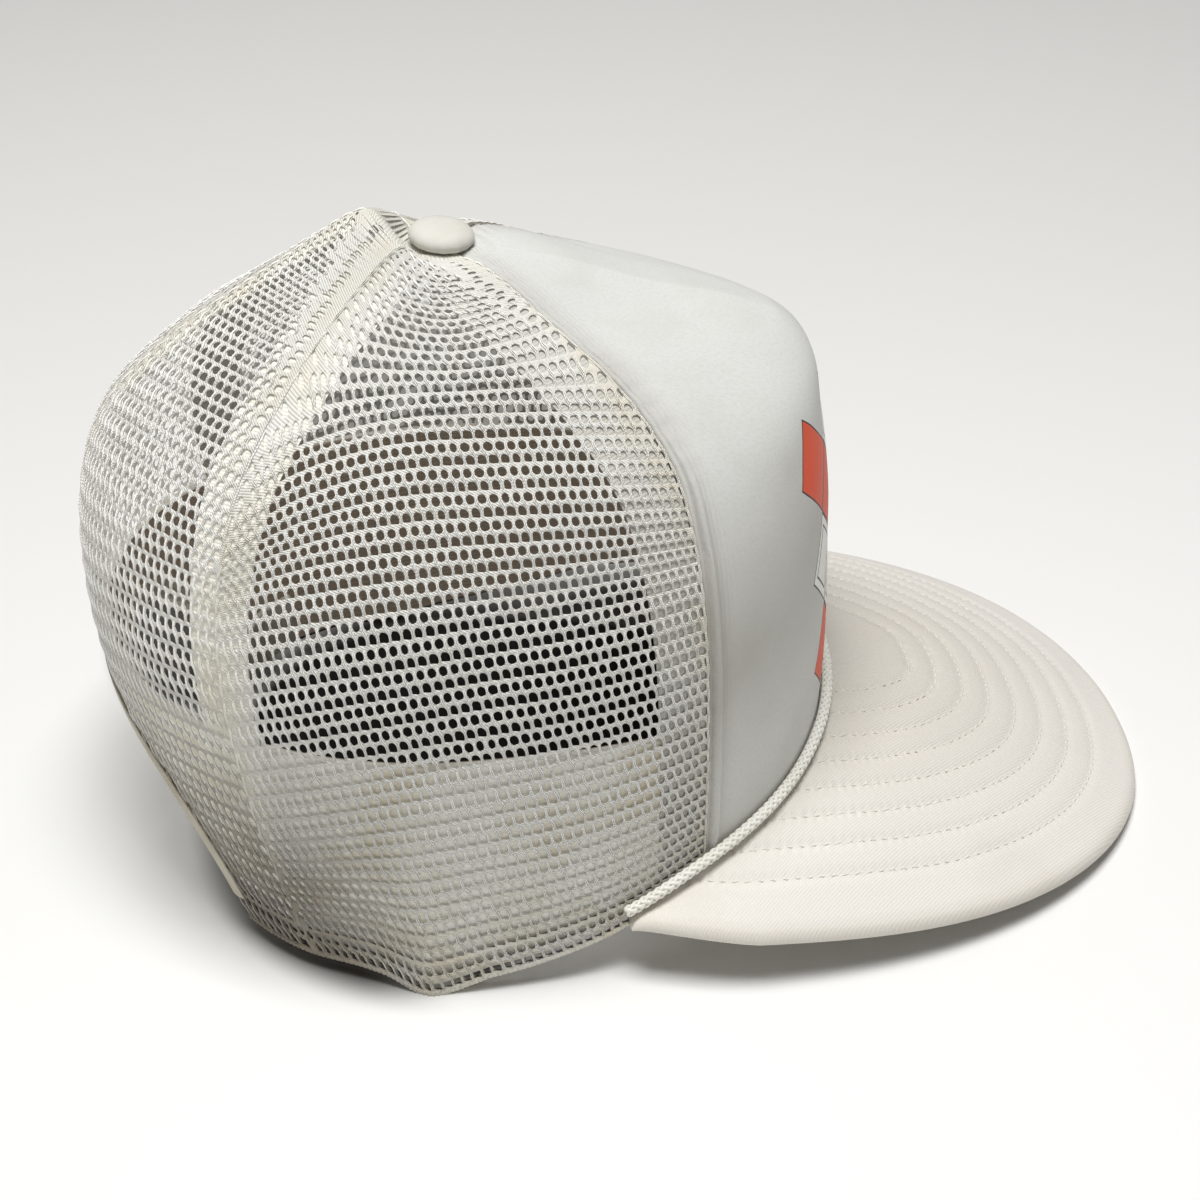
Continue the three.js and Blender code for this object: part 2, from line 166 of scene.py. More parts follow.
def crownInside(angle, level, depth):
    angle, level = np.broadcast_arrays(np.asarray(angle, float), np.asarray(level, float))
    point = crownPoint(angle, level)
    inside = point - crownNormal(angle, level) * np.asarray(depth, float)[..., None]
    inside[..., 2] = np.where(level <= 0, point[..., 2], inside[..., 2])
    return inside


def shifted(angle, level, distance):
    point = crownPoint(angle, level)
    reach = np.hypot(point[..., 0], point[..., 1] - crown["centreY"])
    return angle + np.degrees(distance / reach)


def frontSeam(level):
    return np.interp(level, *np.array(seamRows).T[[0, 1]])


def backSeam(level):
    return np.interp(level, *np.array(seamRows).T[[0, 2]])


def archLevel(angle, widerBy=0.0, higherBy=0.0):
    share = np.minimum((180 - np.abs(angle)) / (arch["halfAngle"] + widerBy), 1)
    return (arch["topLevel"] + higherBy) * np.sqrt(1 - np.maximum(share, 0) ** arch["roundness"])


def archEdgeLevel(angle):
    return archLevel(angle, arch["clearAngle"], arch["clearLevel"])


class Panel:  # a map from millimetres over a panel to angle and level
    def __init__(self, startAt, endAt, rows=120, columns=121):
        self.levels = np.linspace(0, crown["panelTop"], rows)
        level, share = np.meshgrid(self.levels, np.linspace(0, 1, columns), indexing="ij")
        angle = startAt(level) + (endAt(level) - startAt(level)) * share
        step = np.linalg.norm(np.diff(crownPoint(angle, level), axis=1), axis=2)
        arc = np.hstack([np.zeros((rows, 1)), np.cumsum(step, axis=1)])
        even = np.linspace(0, 1, columns)
        self.halves = arc[:, -1] / 2
        self.angles = np.array([np.interp(even * a[-1], a, b) for a, b in zip(arc, angle)])
        middle = crownPoint(self.angles[:, columns // 2], self.levels)
        climbs = np.linalg.norm(np.diff(middle, axis=0), axis=1)
        self.climbs = np.concatenate([[0], np.cumsum(climbs)])

    def half(self, level):
        return np.interp(level, self.levels, self.halves)

    def levelAt(self, climb):
        return np.interp(climb, self.climbs, self.levels)

    def climbAt(self, level):
        return np.interp(level, self.levels, self.climbs)

    def angleAt(self, x, level):
        rows, columns = self.angles.shape
        u = clamp01((x / self.half(level) + 1) / 2) * (columns - 1)
        v = clamp01(level / self.levels[-1]) * (rows - 1)
        i = np.minimum(u.astype(int), columns - 2)
        j = np.minimum(v.astype(int), rows - 2)
        f, g = u - i, v - j
        low = self.angles[j, i] * (1 - f) + self.angles[j, i + 1] * f
        high = self.angles[j + 1, i] * (1 - f) + self.angles[j + 1, i + 1] * f
        return low * (1 - g) + high * g


# Mesh making

def addMesh(name, points, faces, material, nodes=(), cloth=None, edges=None, sharp=50):
    mesh = bpy.data.meshes.new(name)
    mesh.from_pydata((np.asarray(points, float) / 1000).tolist(), [], [tuple(map(int, f)) for f in faces])
    mesh.update()
    corner = np.zeros(len(mesh.loops), int)
    mesh.loops.foreach_get("vertex_index", corner)
    for label, values in (("cloth", cloth), ("edges", edges)):
        if values is not None:
            layer = mesh.uv_layers.new(name=label)
            layer.data.foreach_set("uv", np.asarray(values, float)[corner].ravel())
    mesh.shade_smooth()
    mesh.set_sharp_from_angle(angle=math.radians(sharp))
    mesh.materials.append(material)
    piece = bpy.data.objects.new(name, mesh)
    bpy.context.scene.collection.objects.link(piece)
    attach(piece, "root")
    if nodes:
        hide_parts(*nodes)
    return piece


def closedSheet(outer, inner, joined=False, bulge=0.4):
    # Two faces and a rounded rim as one closed body
    def rim(first, second, outwards):
        shares = np.array([0.22, 0.5, 0.78])[:, None, None]
        swell = np.sin(np.pi * shares) * bulge
        return first + (second - first) * shares + outwards * swell

    top = unit(outer[-1] - outer[-2])
    bottom = unit(outer[0] - outer[1])
    topRim = rim(outer[-1], inner[-1], top)
    bottomRim = rim(inner[0], outer[0], bottom)
    wrap = np.concatenate([outer, topRim, inner[::-1], bottomRim])
    rows, across, span = len(outer), outer.shape[1], len(wrap)
    index = np.arange(span * across).reshape(span, across)
    nextRow = np.roll(index, -1, axis=0)
    nextColumn = np.roll(index, -1, axis=1)
    faces = np.stack([index, nextColumn, np.roll(nextRow, -1, axis=1), nextRow], -1)
    faces = (faces if joined else faces[:, :-1]).reshape(-1, 4).tolist()
    if not joined:
        for column, turned in ((0, False), (across - 1, True)):
            ends = []
            for j in range(rows - 1):
                ends.append([j, j + 1, 2 * rows + 1 - j, 2 * rows + 2 - j])
            ends.append([rows - 1, rows, rows + 1, rows + 2, rows + 3])
            ends.append([0, 2 * rows + 3, 2 * rows + 4, 2 * rows + 5, 2 * rows + 2][::-1])
            for ring in ends:
                ids = [int(index[k % span, column]) for k in ring]
                faces.append(ids[::-1] if turned else ids)
    gridRow = np.concatenate([np.arange(rows), [rows - 1] * 3, np.arange(rows)[::-1], [0] * 3])
    rowOf, columnOf = np.repeat(gridRow, across), np.tile(np.arange(across), span)

    def spread(*grids):  # values of the outer grid, at every point of the body
        return np.stack([np.broadcast_to(grid, (rows, across))[rowOf, columnOf] for grid in grids], axis=1)

    return wrap.reshape(-1, 3), faces, spread


def sweep(rings):  # rings is (steps, corners, 3), its corners clockwise seen along the path
    steps, corners = rings.shape[:2]
    index = np.arange(steps * corners).reshape(steps, corners)
    nextCorner = np.roll(index, -1, axis=1)
    faces = np.stack([index[:-1], nextCorner[:-1], nextCorner[1:], index[1:]], -1).reshape(-1, 4).tolist()
    faces.append(index[0][::-1].tolist())
    faces.append(index[-1].tolist())
    return rings.reshape(-1, 3), faces


def tubes(paths, normals, wide, high, sides, ends=0.35):
    # Many short yarns at once: paths and normals are (count, steps, 3)
    count, steps = paths.shape[:2]
    tangent = unit(np.gradient(paths, axis=1))
    aside = unit(np.cross(tangent, normals))
    up = np.cross(aside, tangent)
    taper = np.ones(steps)
    taper[[0, -1]] = ends
    turn = 2 * np.pi * (np.arange(sides) + (0.75 if sides == 3 else 0.5)) / sides
    offset = aside[:, :, None] * (wide * np.cos(turn))[:, None]
    offset = offset + up[:, :, None] * (high * np.sin(turn))[:, None]
    points = paths[:, :, None] + offset * taper[:, None, None]
    index = np.arange(count * steps * sides).reshape(count, steps, sides)
    nextSide = np.roll(index, -1, axis=2)
    faces = np.stack([index[:, :-1], nextSide[:, :-1], nextSide[:, 1:], index[:, 1:]], -1).reshape(-1, 4)
    return points.reshape(-1, 3), faces.tolist() + index[:, 0, ::-1].tolist() + index[:, -1].tolist()


def facingOut(points, faces):
    # The faces turned so that the closed body faces out
    total = 0.0
    points = np.asarray(points)
    for face in faces:
        a = points[face[0]]
        for k in range(1, len(face) - 1):
            total += np.dot(a, np.cross(points[face[k]], points[face[k + 1]]))
    return faces if total > 0 else [list(face)[::-1] for face in faces]


def merge(*bodies):
    points, faces, start = [], [], 0
    for body in bodies:
        points.append(np.asarray(body[0], float))
        faces.extend([[k + start for k in face] for face in body[1]])
        start += len(body[0])
    return np.vstack(points), faces


def wavy(x, y, size, seed):  # a smooth uneven surface between about -1 and 1
    chance = np.random.default_rng(seed)
    total = 0.0
    for k in range(6):
        turn, phase = chance.uniform(0, 2 * np.pi, 2)
        wave = 2 * np.pi / (size * chance.uniform(0.7, 1.6))
        total = total + np.sin((x * np.cos(turn) + y * np.sin(turn)) * wave + phase)
    return total / 3


# Shader making

def tint(red, green, blue):  # a colour as a painter reads it off, 0 to 255
    return tuple((c / 255 / 12.92) if c < 10.3 else ((c / 255 + 0.055) / 1.055) ** 2.4
                 for c in (red, green, blue)) + (1.0,)


class Value:  # a socket, with the operators that shader maths uses
    def __init__(self, paint, socket):
        self.paint = paint
        self.socket = socket

    def __add__(self, other):
        return self.paint.maths("ADD", self, other)

    def __radd__(self, other):
        return self.paint.maths("ADD", other, self)

    def __sub__(self, other):
        return self.paint.maths("SUBTRACT", self, other)

    def __rsub__(self, other):
        return self.paint.maths("SUBTRACT", other, self)

    def __mul__(self, other):
        return self.paint.maths("MULTIPLY", self, other)

    def __rmul__(self, other):
        return self.paint.maths("MULTIPLY", other, self)

    def __truediv__(self, other):
        return self.paint.maths("DIVIDE", self, other)

    def __rtruediv__(self, other):
        return self.paint.maths("DIVIDE", other, self)

    def __pow__(self, other):
        return self.paint.maths("POWER", self, other)

    def __mod__(self, other):
        return self.paint.maths("FLOORED_MODULO", self, other)

    def __abs__(self):
        return self.paint.maths("ABSOLUTE", self)

    def __lt__(self, other):
        return self.paint.maths("LESS_THAN", self, other)

    def __gt__(self, other):
        return self.paint.maths("GREATER_THAN", self, other)

    def sin(self):
        return self.paint.maths("SINE", self)

    def most(self, other):
        return self.paint.maths("MAXIMUM", self, other)

    def floor(self):
        return self.paint.maths("FLOOR", self)

    def step(self, low, high):  # 0 below low and 1 above high, soft between
        settings = {"interpolation_type": "SMOOTHSTEP"}
        return self.paint.node("ShaderNodeMapRange", settings, {0: self, 1: low, 2: high})


class Paint:
    def __init__(self, name, **fixed):
        self.material = bpy.data.materials.new(name)
        self.material.use_nodes = True
        self.tree = self.material.node_tree
        self.shader = self.tree.nodes["Principled BSDF"]
        for socket, value in fixed.items():
            self.shader.inputs[socket.replace("_", " ")].default_value = value

    def node(self, kind, settings=None, inputs=None, output=0):
        made = self.tree.nodes.new(kind)
        for key, value in (settings or {}).items():
            setattr(made, key, value)
        for key, value in (inputs or {}).items():
            if isinstance(value, Value):
                self.tree.links.new(value.socket, made.inputs[key])
            elif value is not None:
                made.inputs[key].default_value = value
        return Value(self, made.outputs[output])

    def maths(self, operation, first, second=None):
        return self.node("ShaderNodeMath", {"operation": operation}, {0: first, 1: second})

    def mix(self, factor, first, second):
        return self.node("ShaderNodeMix", {"data_type": "RGBA"}, {0: factor, 6: first, 7: second}, 2)

    def split(self, vector):  # its parts along x and y
        parts = self.node("ShaderNodeSeparateXYZ", None, {0: vector})
        return parts, Value(self, parts.socket.node.outputs[1])

    def parts(self, layer):  # the two values of a UV map, kept in millimetres
        return self.split(self.node("ShaderNodeUVMap", {"uv_map": layer}))

    def inSpace(self):  # the point itself, in millimetres
        place = self.node("ShaderNodeTexCoord", None, None, 3)
        return self.node("ShaderNodeVectorMath", {"operation": "SCALE"}, {0: place, "Scale": 1000.0})

    def noise(self, vector, scale, detail=3.0):
        return self.node("ShaderNodeTexNoise", None,
                         {"Vector": vector, "Scale": scale, "Detail": detail, "Roughness": 0.55})

    def innerFace(self):  # 1 where a face looks into the crown
        place = self.node("ShaderNodeTexCoord", None, None, 3)
        middle = (0, crown["centreY"] / 1000, 0.055)
        away = self.node("ShaderNodeVectorMath", {"operation": "SUBTRACT"}, {0: place, 1: middle})
        away = self.node("ShaderNodeVectorMath", {"operation": "NORMALIZE"}, {0: away})
        normal = self.node("ShaderNodeNewGeometry", None, None, 1)
        settings = {"operation": "DOT_PRODUCT"}
        facing = self.node("ShaderNodeVectorMath", settings, {0: away, 1: normal}, "Value")
        return 1 - facing.step(-0.25, 0.0)

    def vector(self, x, y, z=0.0):
        return self.node("ShaderNodeCombineXYZ", None, {0: x, 1: y, 2: z})

    def bump(self, height, distance, strength):
        inputs = {"Height": height, "Distance": distance / 1000, "Strength": strength}
        return self.node("ShaderNodeBump", None, inputs)

    def finish(self, **links):
        for socket, value in links.items():
            self.tree.links.new(value.socket, self.shader.inputs[socket.replace("_", " ")])
        return self.material


netLook = {
    "satinAndHighlight": tint(255, 254, 250),
    "fresh": tint(228, 227, 221),
    "aged": tint(224, 213, 186),
    "grime": tint(150, 138, 112),
    # Inner faces of the net: painted shade, near black low down and lighter at the rear as painted light
    "inside": tint(176, 174, 168),
    "insideRearPaintedLight": tint(224, 222, 216),
    "insideLowPaintedShade": tint(46, 43, 38),
    "insidePaintedGlow": 0.28,
    "insideShade": 0.9,
    "rearLowDarkTone": tint(138, 127, 110),
    "rearLowDarkening": 0.95,
    "lineShade": 0.08,
    "twistShadeTone": tint(176, 173, 164),
    "yarnWidth": 0.6,
}


def netYarn(name, fresh, gloss, lines, outerPaintedGlow):
    paint = Paint(name, Specular_IOR_Level=0.5, Sheen_Weight=0.1, Emission_Strength=netLook["insidePaintedGlow"])
    across, up = paint.parts("cloth")
    toSeam, toHem = paint.parts("edges")
    flat = paint.vector(across, up)
    cloudy = paint.noise(flat, 0.055)
    nearSeam = 1 - toSeam.step(0.5, 8.0)
    nearHem = 1 - toHem.step(2.0, 48.0)
    age = (nearSeam * 0.5 + nearHem * 0.7 + 0.1) * cloudy.step(0.25, 0.75)
    colour = paint.mix(age, fresh, netLook["aged"])
    specks = paint.noise(flat, 0.35, 4.0).step(0.58, 0.74)
    dirt = specks * (nearHem * 0.35 + 0.05)
    colour = paint.mix(dirt, colour, netLook["grime"])
    behind = paint.split(paint.inSpace())[1]
    # Darker and browner, mottled, towards the hem at the rear
    rearLowDarkening = (1 - toHem.step(14.0, 86.0)) * behind.step(52.0, 98.0) * (cloudy * 0.5 + 0.75)
    colour = paint.mix(rearLowDarkening * netLook["rearLowDarkening"], colour, netLook["rearLowDarkTone"])
    # Inner faces are painted darker as painted shade, near black close to the hem and lighter towards the
    # rear as painted light
    inner = paint.innerFace()
    high = paint.mix(behind.step(88.0, 108.0), netLook["inside"], netLook["insideRearPaintedLight"])
    inside = paint.mix(toHem.step(9.0, 24.0), netLook["insideLowPaintedShade"], high)
    colour = paint.mix(inner * netLook["insideShade"], colour, inside)
    # Painted light: inner faces glow where light would fall into the crown, and outer faces glow by the given
    # amount
    lit = toHem.step(55.0, 105.0).most(behind.step(88.0, 108.0) * toHem.step(15.0, 60.0))
    glow = paint.mix(inner * lit, (outerPaintedGlow, outerPaintedGlow, outerPaintedGlow, 1), high)
    width = netLook["yarnWidth"]
    twist = ((across * 0.6 + up) * (2 * math.pi / width)).sin()
    fuzz = paint.noise(flat, 2.4, 2.0)
    # Darker lines along the yarn's twist: painted shade in its grooves
    colour = paint.mix(twist.step(0.1, -0.9) * lines, colour, netLook["twistShadeTone"])
    bump = paint.bump(twist * 0.7 + fuzz, 0.1, 0.9)
    rough = fuzz * 0.2 + gloss
    return paint.finish(Base_Color=colour, Roughness=rough, Emission_Color=glow, Normal=bump)


foamLook = {
    "base": tint(219, 219, 215),
    "shade": tint(186, 183, 175),
    "paintedMidShade": 0.6,
    "stretchPitch": 1.3,
    "stretchDepth": 1.3,
    "grain": 0.16,
    "loop": 0.62,
    "orange": tint(232, 74, 12),
    "ink": tint(26, 25, 27),
    "white": tint(246, 245, 240),
    "innerPaintedShade": tint(96, 93, 88),
    "halfWide": 44.0,
    "low": 18.0,
    "high": 80.0,
    "diamondWide": 21.0,
    "diamondHigh": 26.0,
    "line": 0.5,
}


def foamCloth():
    look = foamLook
    paint = Paint("foamCloth", Roughness=0.7, Sheen_Weight=0.08, Sheen_Roughness=0.5)
    across, up = paint.parts("cloth")
    toSeam, toHem = paint.parts("edges")
    flat = paint.vector(across, up)
    cloudy = paint.noise(flat, 0.03, 4.0)
    # Random clouds, with painted shade beside the seams and over the middle height of the front
    paintedMidShade = up.step(24.0, 56.0) * (1 - up.step(58.0, 96.0)) * look["paintedMidShade"]
    mottleAndShade = cloudy.step(0.45, 0.8) * 0.3 + (1 - toSeam.step(0.0, 9.0)) * 0.45 + paintedMidShade
    colour = paint.mix(mottleAndShade, look["base"], look["shade"])
    colour = paint.mix(paint.noise(flat, 1.1, 2.0).step(0.42, 0.66) * look["grain"], colour, look["shade"])
    # Whole diamonds, every second diagonal of them filled orange and the others outlined twice
    wide, high = look["diamondWide"], look["diamondHigh"]
    first = across / wide + up / high
    second = across / wide - up / high
    toLine = abs(first % 1.0 - 0.5).most(abs(second % 1.0 - 0.5))
    middleX = (first.floor() + second.floor() + 1.0) * (wide / 2)
    middleUp = (first.floor() - second.floor()) * (high / 2)
    inside = (abs(middleX) < look["halfWide"] - wide / 2) * (middleUp > look["low"])
    inside = inside * (middleUp < look["high"])
    filled = (first.floor() % 2.0) > 0.5
    fill = paint.mix(filled, look["white"], look["orange"])
    toEdge = 0.5 - toLine
    ring = toEdge.step(0.13, 0.135) * (1 - toEdge.step(0.16, 0.165)) * (1 - filled)
    ink = ring.most(1 - toEdge.step(look["line"] / wide, look["line"] / wide + 0.006))
    fill = paint.mix(ink, fill, look["ink"])
    colour = paint.mix(inside, colour, fill)
    # The inner face is painted dark grey: painted shade
    colour = paint.mix(paint.innerFace(), colour, look["innerPaintedShade"])
    loops = (across * (2 * math.pi / look["loop"])).sin() * (up * (2 * math.pi / look["loop"])).sin()
    fuzz = paint.noise(flat, 1.6, 3.0)
    # Stretch lines along the seam
    wander = paint.noise(flat, 0.12, 2.0)
    stretched = (1 - toSeam.step(2.0, 11.0)) * up.step(30.0, 60.0)
    lines = (toSeam * (2 * math.pi / look["stretchPitch"]) + wander * 9).sin() * stretched
    bump = paint.bump(loops * 0.4 + fuzz * 0.8 + lines * look["stretchDepth"], 0.06, 0.7)
    rough = 0.62 + fuzz * 0.2 - inside * 0.12
    return paint.finish(Base_Color=colour, Roughness=rough, Normal=bump)


brimLook = {
    "outer": tint(243, 238, 230),
    "base": tint(218, 214, 204),
    "darker": tint(222, 215, 203),
    "rib": 0.85,
}


def brimCloth():
    paint = Paint("brimCloth", Roughness=0.8, Sheen_Weight=0.2, Sheen_Roughness=0.5)
    place = paint.inSpace()
    across, ahead = paint.split(place)
    toEdge = paint.parts("edges")[0]
    cloudy = paint.noise(place, 0.035, 5.0)
    # Wear along the edge and random clouds darken the cloth
    darker = (1 - toEdge.step(0.5, 4.0)) * 0.5 + cloudy.step(0.45, 0.75) * 0.25
    # Lighter towards the outer edge and darker towards the crown: painted light and shade
    colour = paint.mix(toEdge.step(0.0, 68.0), brimLook["outer"], brimLook["base"])
    colour = paint.mix(darker, colour, brimLook["darker"])
    ribs = ((across + ahead * 0.8) * (2 * math.pi / brimLook["rib"])).sin()
    weave = ((across * 0.8 - ahead) * (2 * math.pi / brimLook["rib"] * 1.3)).sin()
    fuzz = paint.noise(place, 1.5, 3.0)
    # Stripes along the twill ribs: painted shade
    colour = paint.mix((ribs * 0.5 + 0.5) * 0.1, colour, brimLook["darker"])
    bump = paint.bump(ribs * 0.4 + weave * 0.2 + fuzz * 0.6, 0.08, 0.8)
    return paint.finish(Base_Color=colour, Roughness=0.72 + fuzz * 0.16, Normal=bump)


def wovenTape(name, fresh, aged, rib, dirt=0.4, back=None, glow=0.0):
    # The cloth glows faintly in its own colour: painted light
    paint = Paint(name, Roughness=0.8, Sheen_Weight=0.1, Emission_Strength=glow)
    place = paint.inSpace()
    across, up = paint.parts("cloth")
    cloudy = paint.noise(place, 0.05, 5.0)
    colour = paint.mix(cloudy.step(0.35, 0.75) * dirt, fresh, aged)
    # The face towards the inside of the crown is painted darker: painted shade
    if back is not None:
        colour = paint.mix(paint.innerFace(), colour, back)
    ribs = (up * (2 * math.pi / rib)).sin()
    cross = (across * (2 * math.pi / rib * 1.6)).sin()
    fuzz = paint.noise(place, 1.4, 3.0)
    bump = paint.bump(ribs * 0.5 + cross * 0.3 + fuzz * 0.6, 0.1, 0.8)
    return paint.finish(Base_Color=colour, Emission_Color=colour, Roughness=0.7 + fuzz * 0.2, Normal=bump)


ropeTwist = 0.5  # millimetres from one turn of the yarn to the next


def ropeYarn():
    paint = Paint("ropeYarn", Roughness=0.45, Sheen_Weight=0.15)
    place = paint.inSpace()
    across, along = paint.parts("cloth")
    cloudy = paint.noise(place, 0.06, 4.0)
    colour = paint.mix(cloudy.step(0.35, 0.75) * 0.5, tint(252, 250, 242), tint(240, 235, 220))
    twist = ((along + across * 0.6) * (2 * math.pi / ropeTwist)).sin()
    fuzz = paint.noise(place, 2.0, 3.0)
    bump = paint.bump(twist * 0.35 + fuzz * 0.4, 0.06, 0.6)
    return paint.finish(Base_Color=colour, Roughness=0.36 + fuzz * 0.2, Normal=bump)


def strapPlastic():
    paint = Paint("strapPlastic", Roughness=0.4, Specular_IOR_Level=0.45)
    place = paint.inSpace()
    cloudy = paint.noise(place, 0.05, 4.0)
    colour = paint.mix(cloudy.step(0.4, 0.8) * 0.4, tint(236, 234, 226), tint(214, 208, 190))
    scuffs = paint.noise(place, 0.9, 5.0)
    bump = paint.bump(scuffs, 0.05, 0.35)
    return paint.finish(Base_Color=colour, Roughness=0.3 + scuffs * 0.3, Normal=bump)


def threadYarn():
    paint = Paint("threadYarn", Roughness=0.5)
    place = paint.inSpace()
    tone = paint.noise(place, 0.3, 2.0)
    colour = paint.mix(tone, tint(232, 228, 219), tint(222, 216, 205))
    bump = paint.bump(paint.noise(place, 4.0, 2.0), 0.05, 0.6)
    return paint.finish(Base_Color=colour, Normal=bump)


net = netYarn("netYarn", netLook["fresh"], 0.42, netLook["lineShade"], 0.0)
# The satin strands are whiter than the bars and glow faintly: partly a shinier yarn, partly painted highlight
satinAndHighlight = netYarn("netSatin", netLook["satinAndHighlight"], 0.22, 0.0, 0.2)
foam = foamCloth()
brimFabric = brimCloth()
# Inner faces of the tapes and the band, painted darker: painted shade
tapeInnerShade, bandInnerShade = tint(206, 203, 195), tint(160, 145, 128)
tapeFabric = wovenTape("tapeCloth", tint(242, 240, 232), tint(232, 224, 200), 0.9, 0.5, tapeInnerShade, 0.07)
shadedTone, shadedAged = tint(198, 196, 189), tint(188, 180, 162)
frontTapeFabric = wovenTape("frontTapeCloth", shadedTone, shadedAged, 0.9, 0.5, tapeInnerShade, 0.05)
bandFabric = wovenTape("bandCloth", tint(248, 246, 238), tint(220, 209, 184), 1.3, 0.8, bandInnerShade, 0.12)
bindingFabric = wovenTape("bindingCloth", tint(206, 199, 181), tint(162, 148, 120), 0.8, 0.8)
ropeFabric = ropeYarn()
plastic = strapPlastic()
thread = threadYarn()
print("materials made")

# Net

netWork = {
    "pitch": 2.48,
    "thick": 0.5,
    "hemBar": 0.9,
    "hemLoop": 1.24,
    "ripple": 0.35,
    "denseFrom": 14.0,
    "barWide": 0.84,
    "postWide": 0.71,
    "lean": 0.09,
    "shiftUp": (-0.46, 0.28),  # from a peaked row to the round one above it, and from that to the next
    "seamStrip": 0.4,
    "dropRearLow": 0.0026,
    "dropRearHigh": 0.0078,
    "dropFrontLow": 0.0022,
    "dropFrontHigh": 0.003,
    "sag": 0.016,
    "yarnShare": 0.8,  # of a cut, the rest is holes
    "tilt": 0.11,
    "dropFullAt": 55.0,
    "uneven": 0.12,
    "strandWide": 0.16,
    "strandHigh": 0.16,
    "strandShift": 0.28,
    "strandBeside": 0.15,
    "strandProud": 0.24,
    "holeFlare": 0.2,
}
# climb over a panel, height of a row there
rowHeights = [[0, 4.0], [38, 3.95], [75, 3.4], [95, 3.3], [116, 3.12], [136, 2.95], [155, 2.6], [165, 2.2],
              [173, 1.6], [190, 1.45]]
peakedHole = [(-0.98, -0.7), (-0.68, -0.98), (0.66, -1), (0.97, -0.74), (1, -0.25), (0.92, 0.25),
              (0.68, 0.66), (0.26, 0.96), (-0.36, 1.02), (-0.8, 0.82), (-1, 0.35), (-1, -0.2)]
roundHole = [(-1, -0.1), (-0.84, -0.6), (-0.4, -0.95), (0.18, -1.02), (0.68, -0.8), (0.98, -0.35),
             (1, 0.15), (0.84, 0.6), (0.42, 0.95), (-0.12, 1.02), (-0.66, 0.8), (-0.96, 0.38)]
half = 0.2  # half the gap that the source leaves at a seam
netHalf = 0.03


def rowDrop(panel, x, climb):
    # Rows are cut flat, so they drop below the level lines at both seams, and sag at the top of the sides
    high = smooth(98, 140, climb)
    rear = netWork["dropRearLow"] + (netWork["dropRearHigh"] - netWork["dropRearLow"]) * high
    front = netWork["dropFrontLow"] + (netWork["dropFrontHigh"] - netWork["dropFrontLow"]) * high
    sag = netWork["sag"] * panel.sags * smooth(148, 174, climb)
    bend = np.where(x * panel.rearSign > 0, rear, front) - sag
    tilt = netWork["tilt"] * panel.rearSign * (1 - smooth(90, 125, climb))
    fade = smooth(0, netWork["dropFullAt"], climb) * smooth(0, 26, panel.climbs[-1] - climb)
    return (bend * x * x + tilt * x) * fade


def netPlace(panel, x, climb, depth):
    x = np.asarray(x, float)
    climb = np.asarray(climb, float)
    level = panel.levelAt(climb - rowDrop(panel, x, climb))
    angle = panel.angleAt(x, level)
    ripple = netWork["ripple"] * wavy(x, climb, 34.0, 5) * smooth(8, 20, panel.half(level) - np.abs(x))
    ripple = ripple * (0.35 + 0.65 * smooth(60, 90, climb))
    return angle, level, crownInside(angle, level, depth - ripple)


def seamHalf(panel, climb, side):
    # The panel's half width where a row meets the seam
    x = panel.half(panel.levelAt(climb))
    for turn in range(9):
        x = (x + panel.half(panel.levelAt(climb - rowDrop(panel, side * x, climb)))) / 2
    return float(x)


def rowLines(first, last):
    climbs = np.linspace(first, last, 600)
    heights = np.interp(climbs, *np.array(rowHeights, float).T)
    counted = np.concatenate([[0], np.cumsum(np.diff(climbs) / heights[1:])])
    rows = max(1, int(round(counted[-1])))
    return np.interp(np.linspace(0, counted[-1], rows + 1), counted, climbs).tolist()


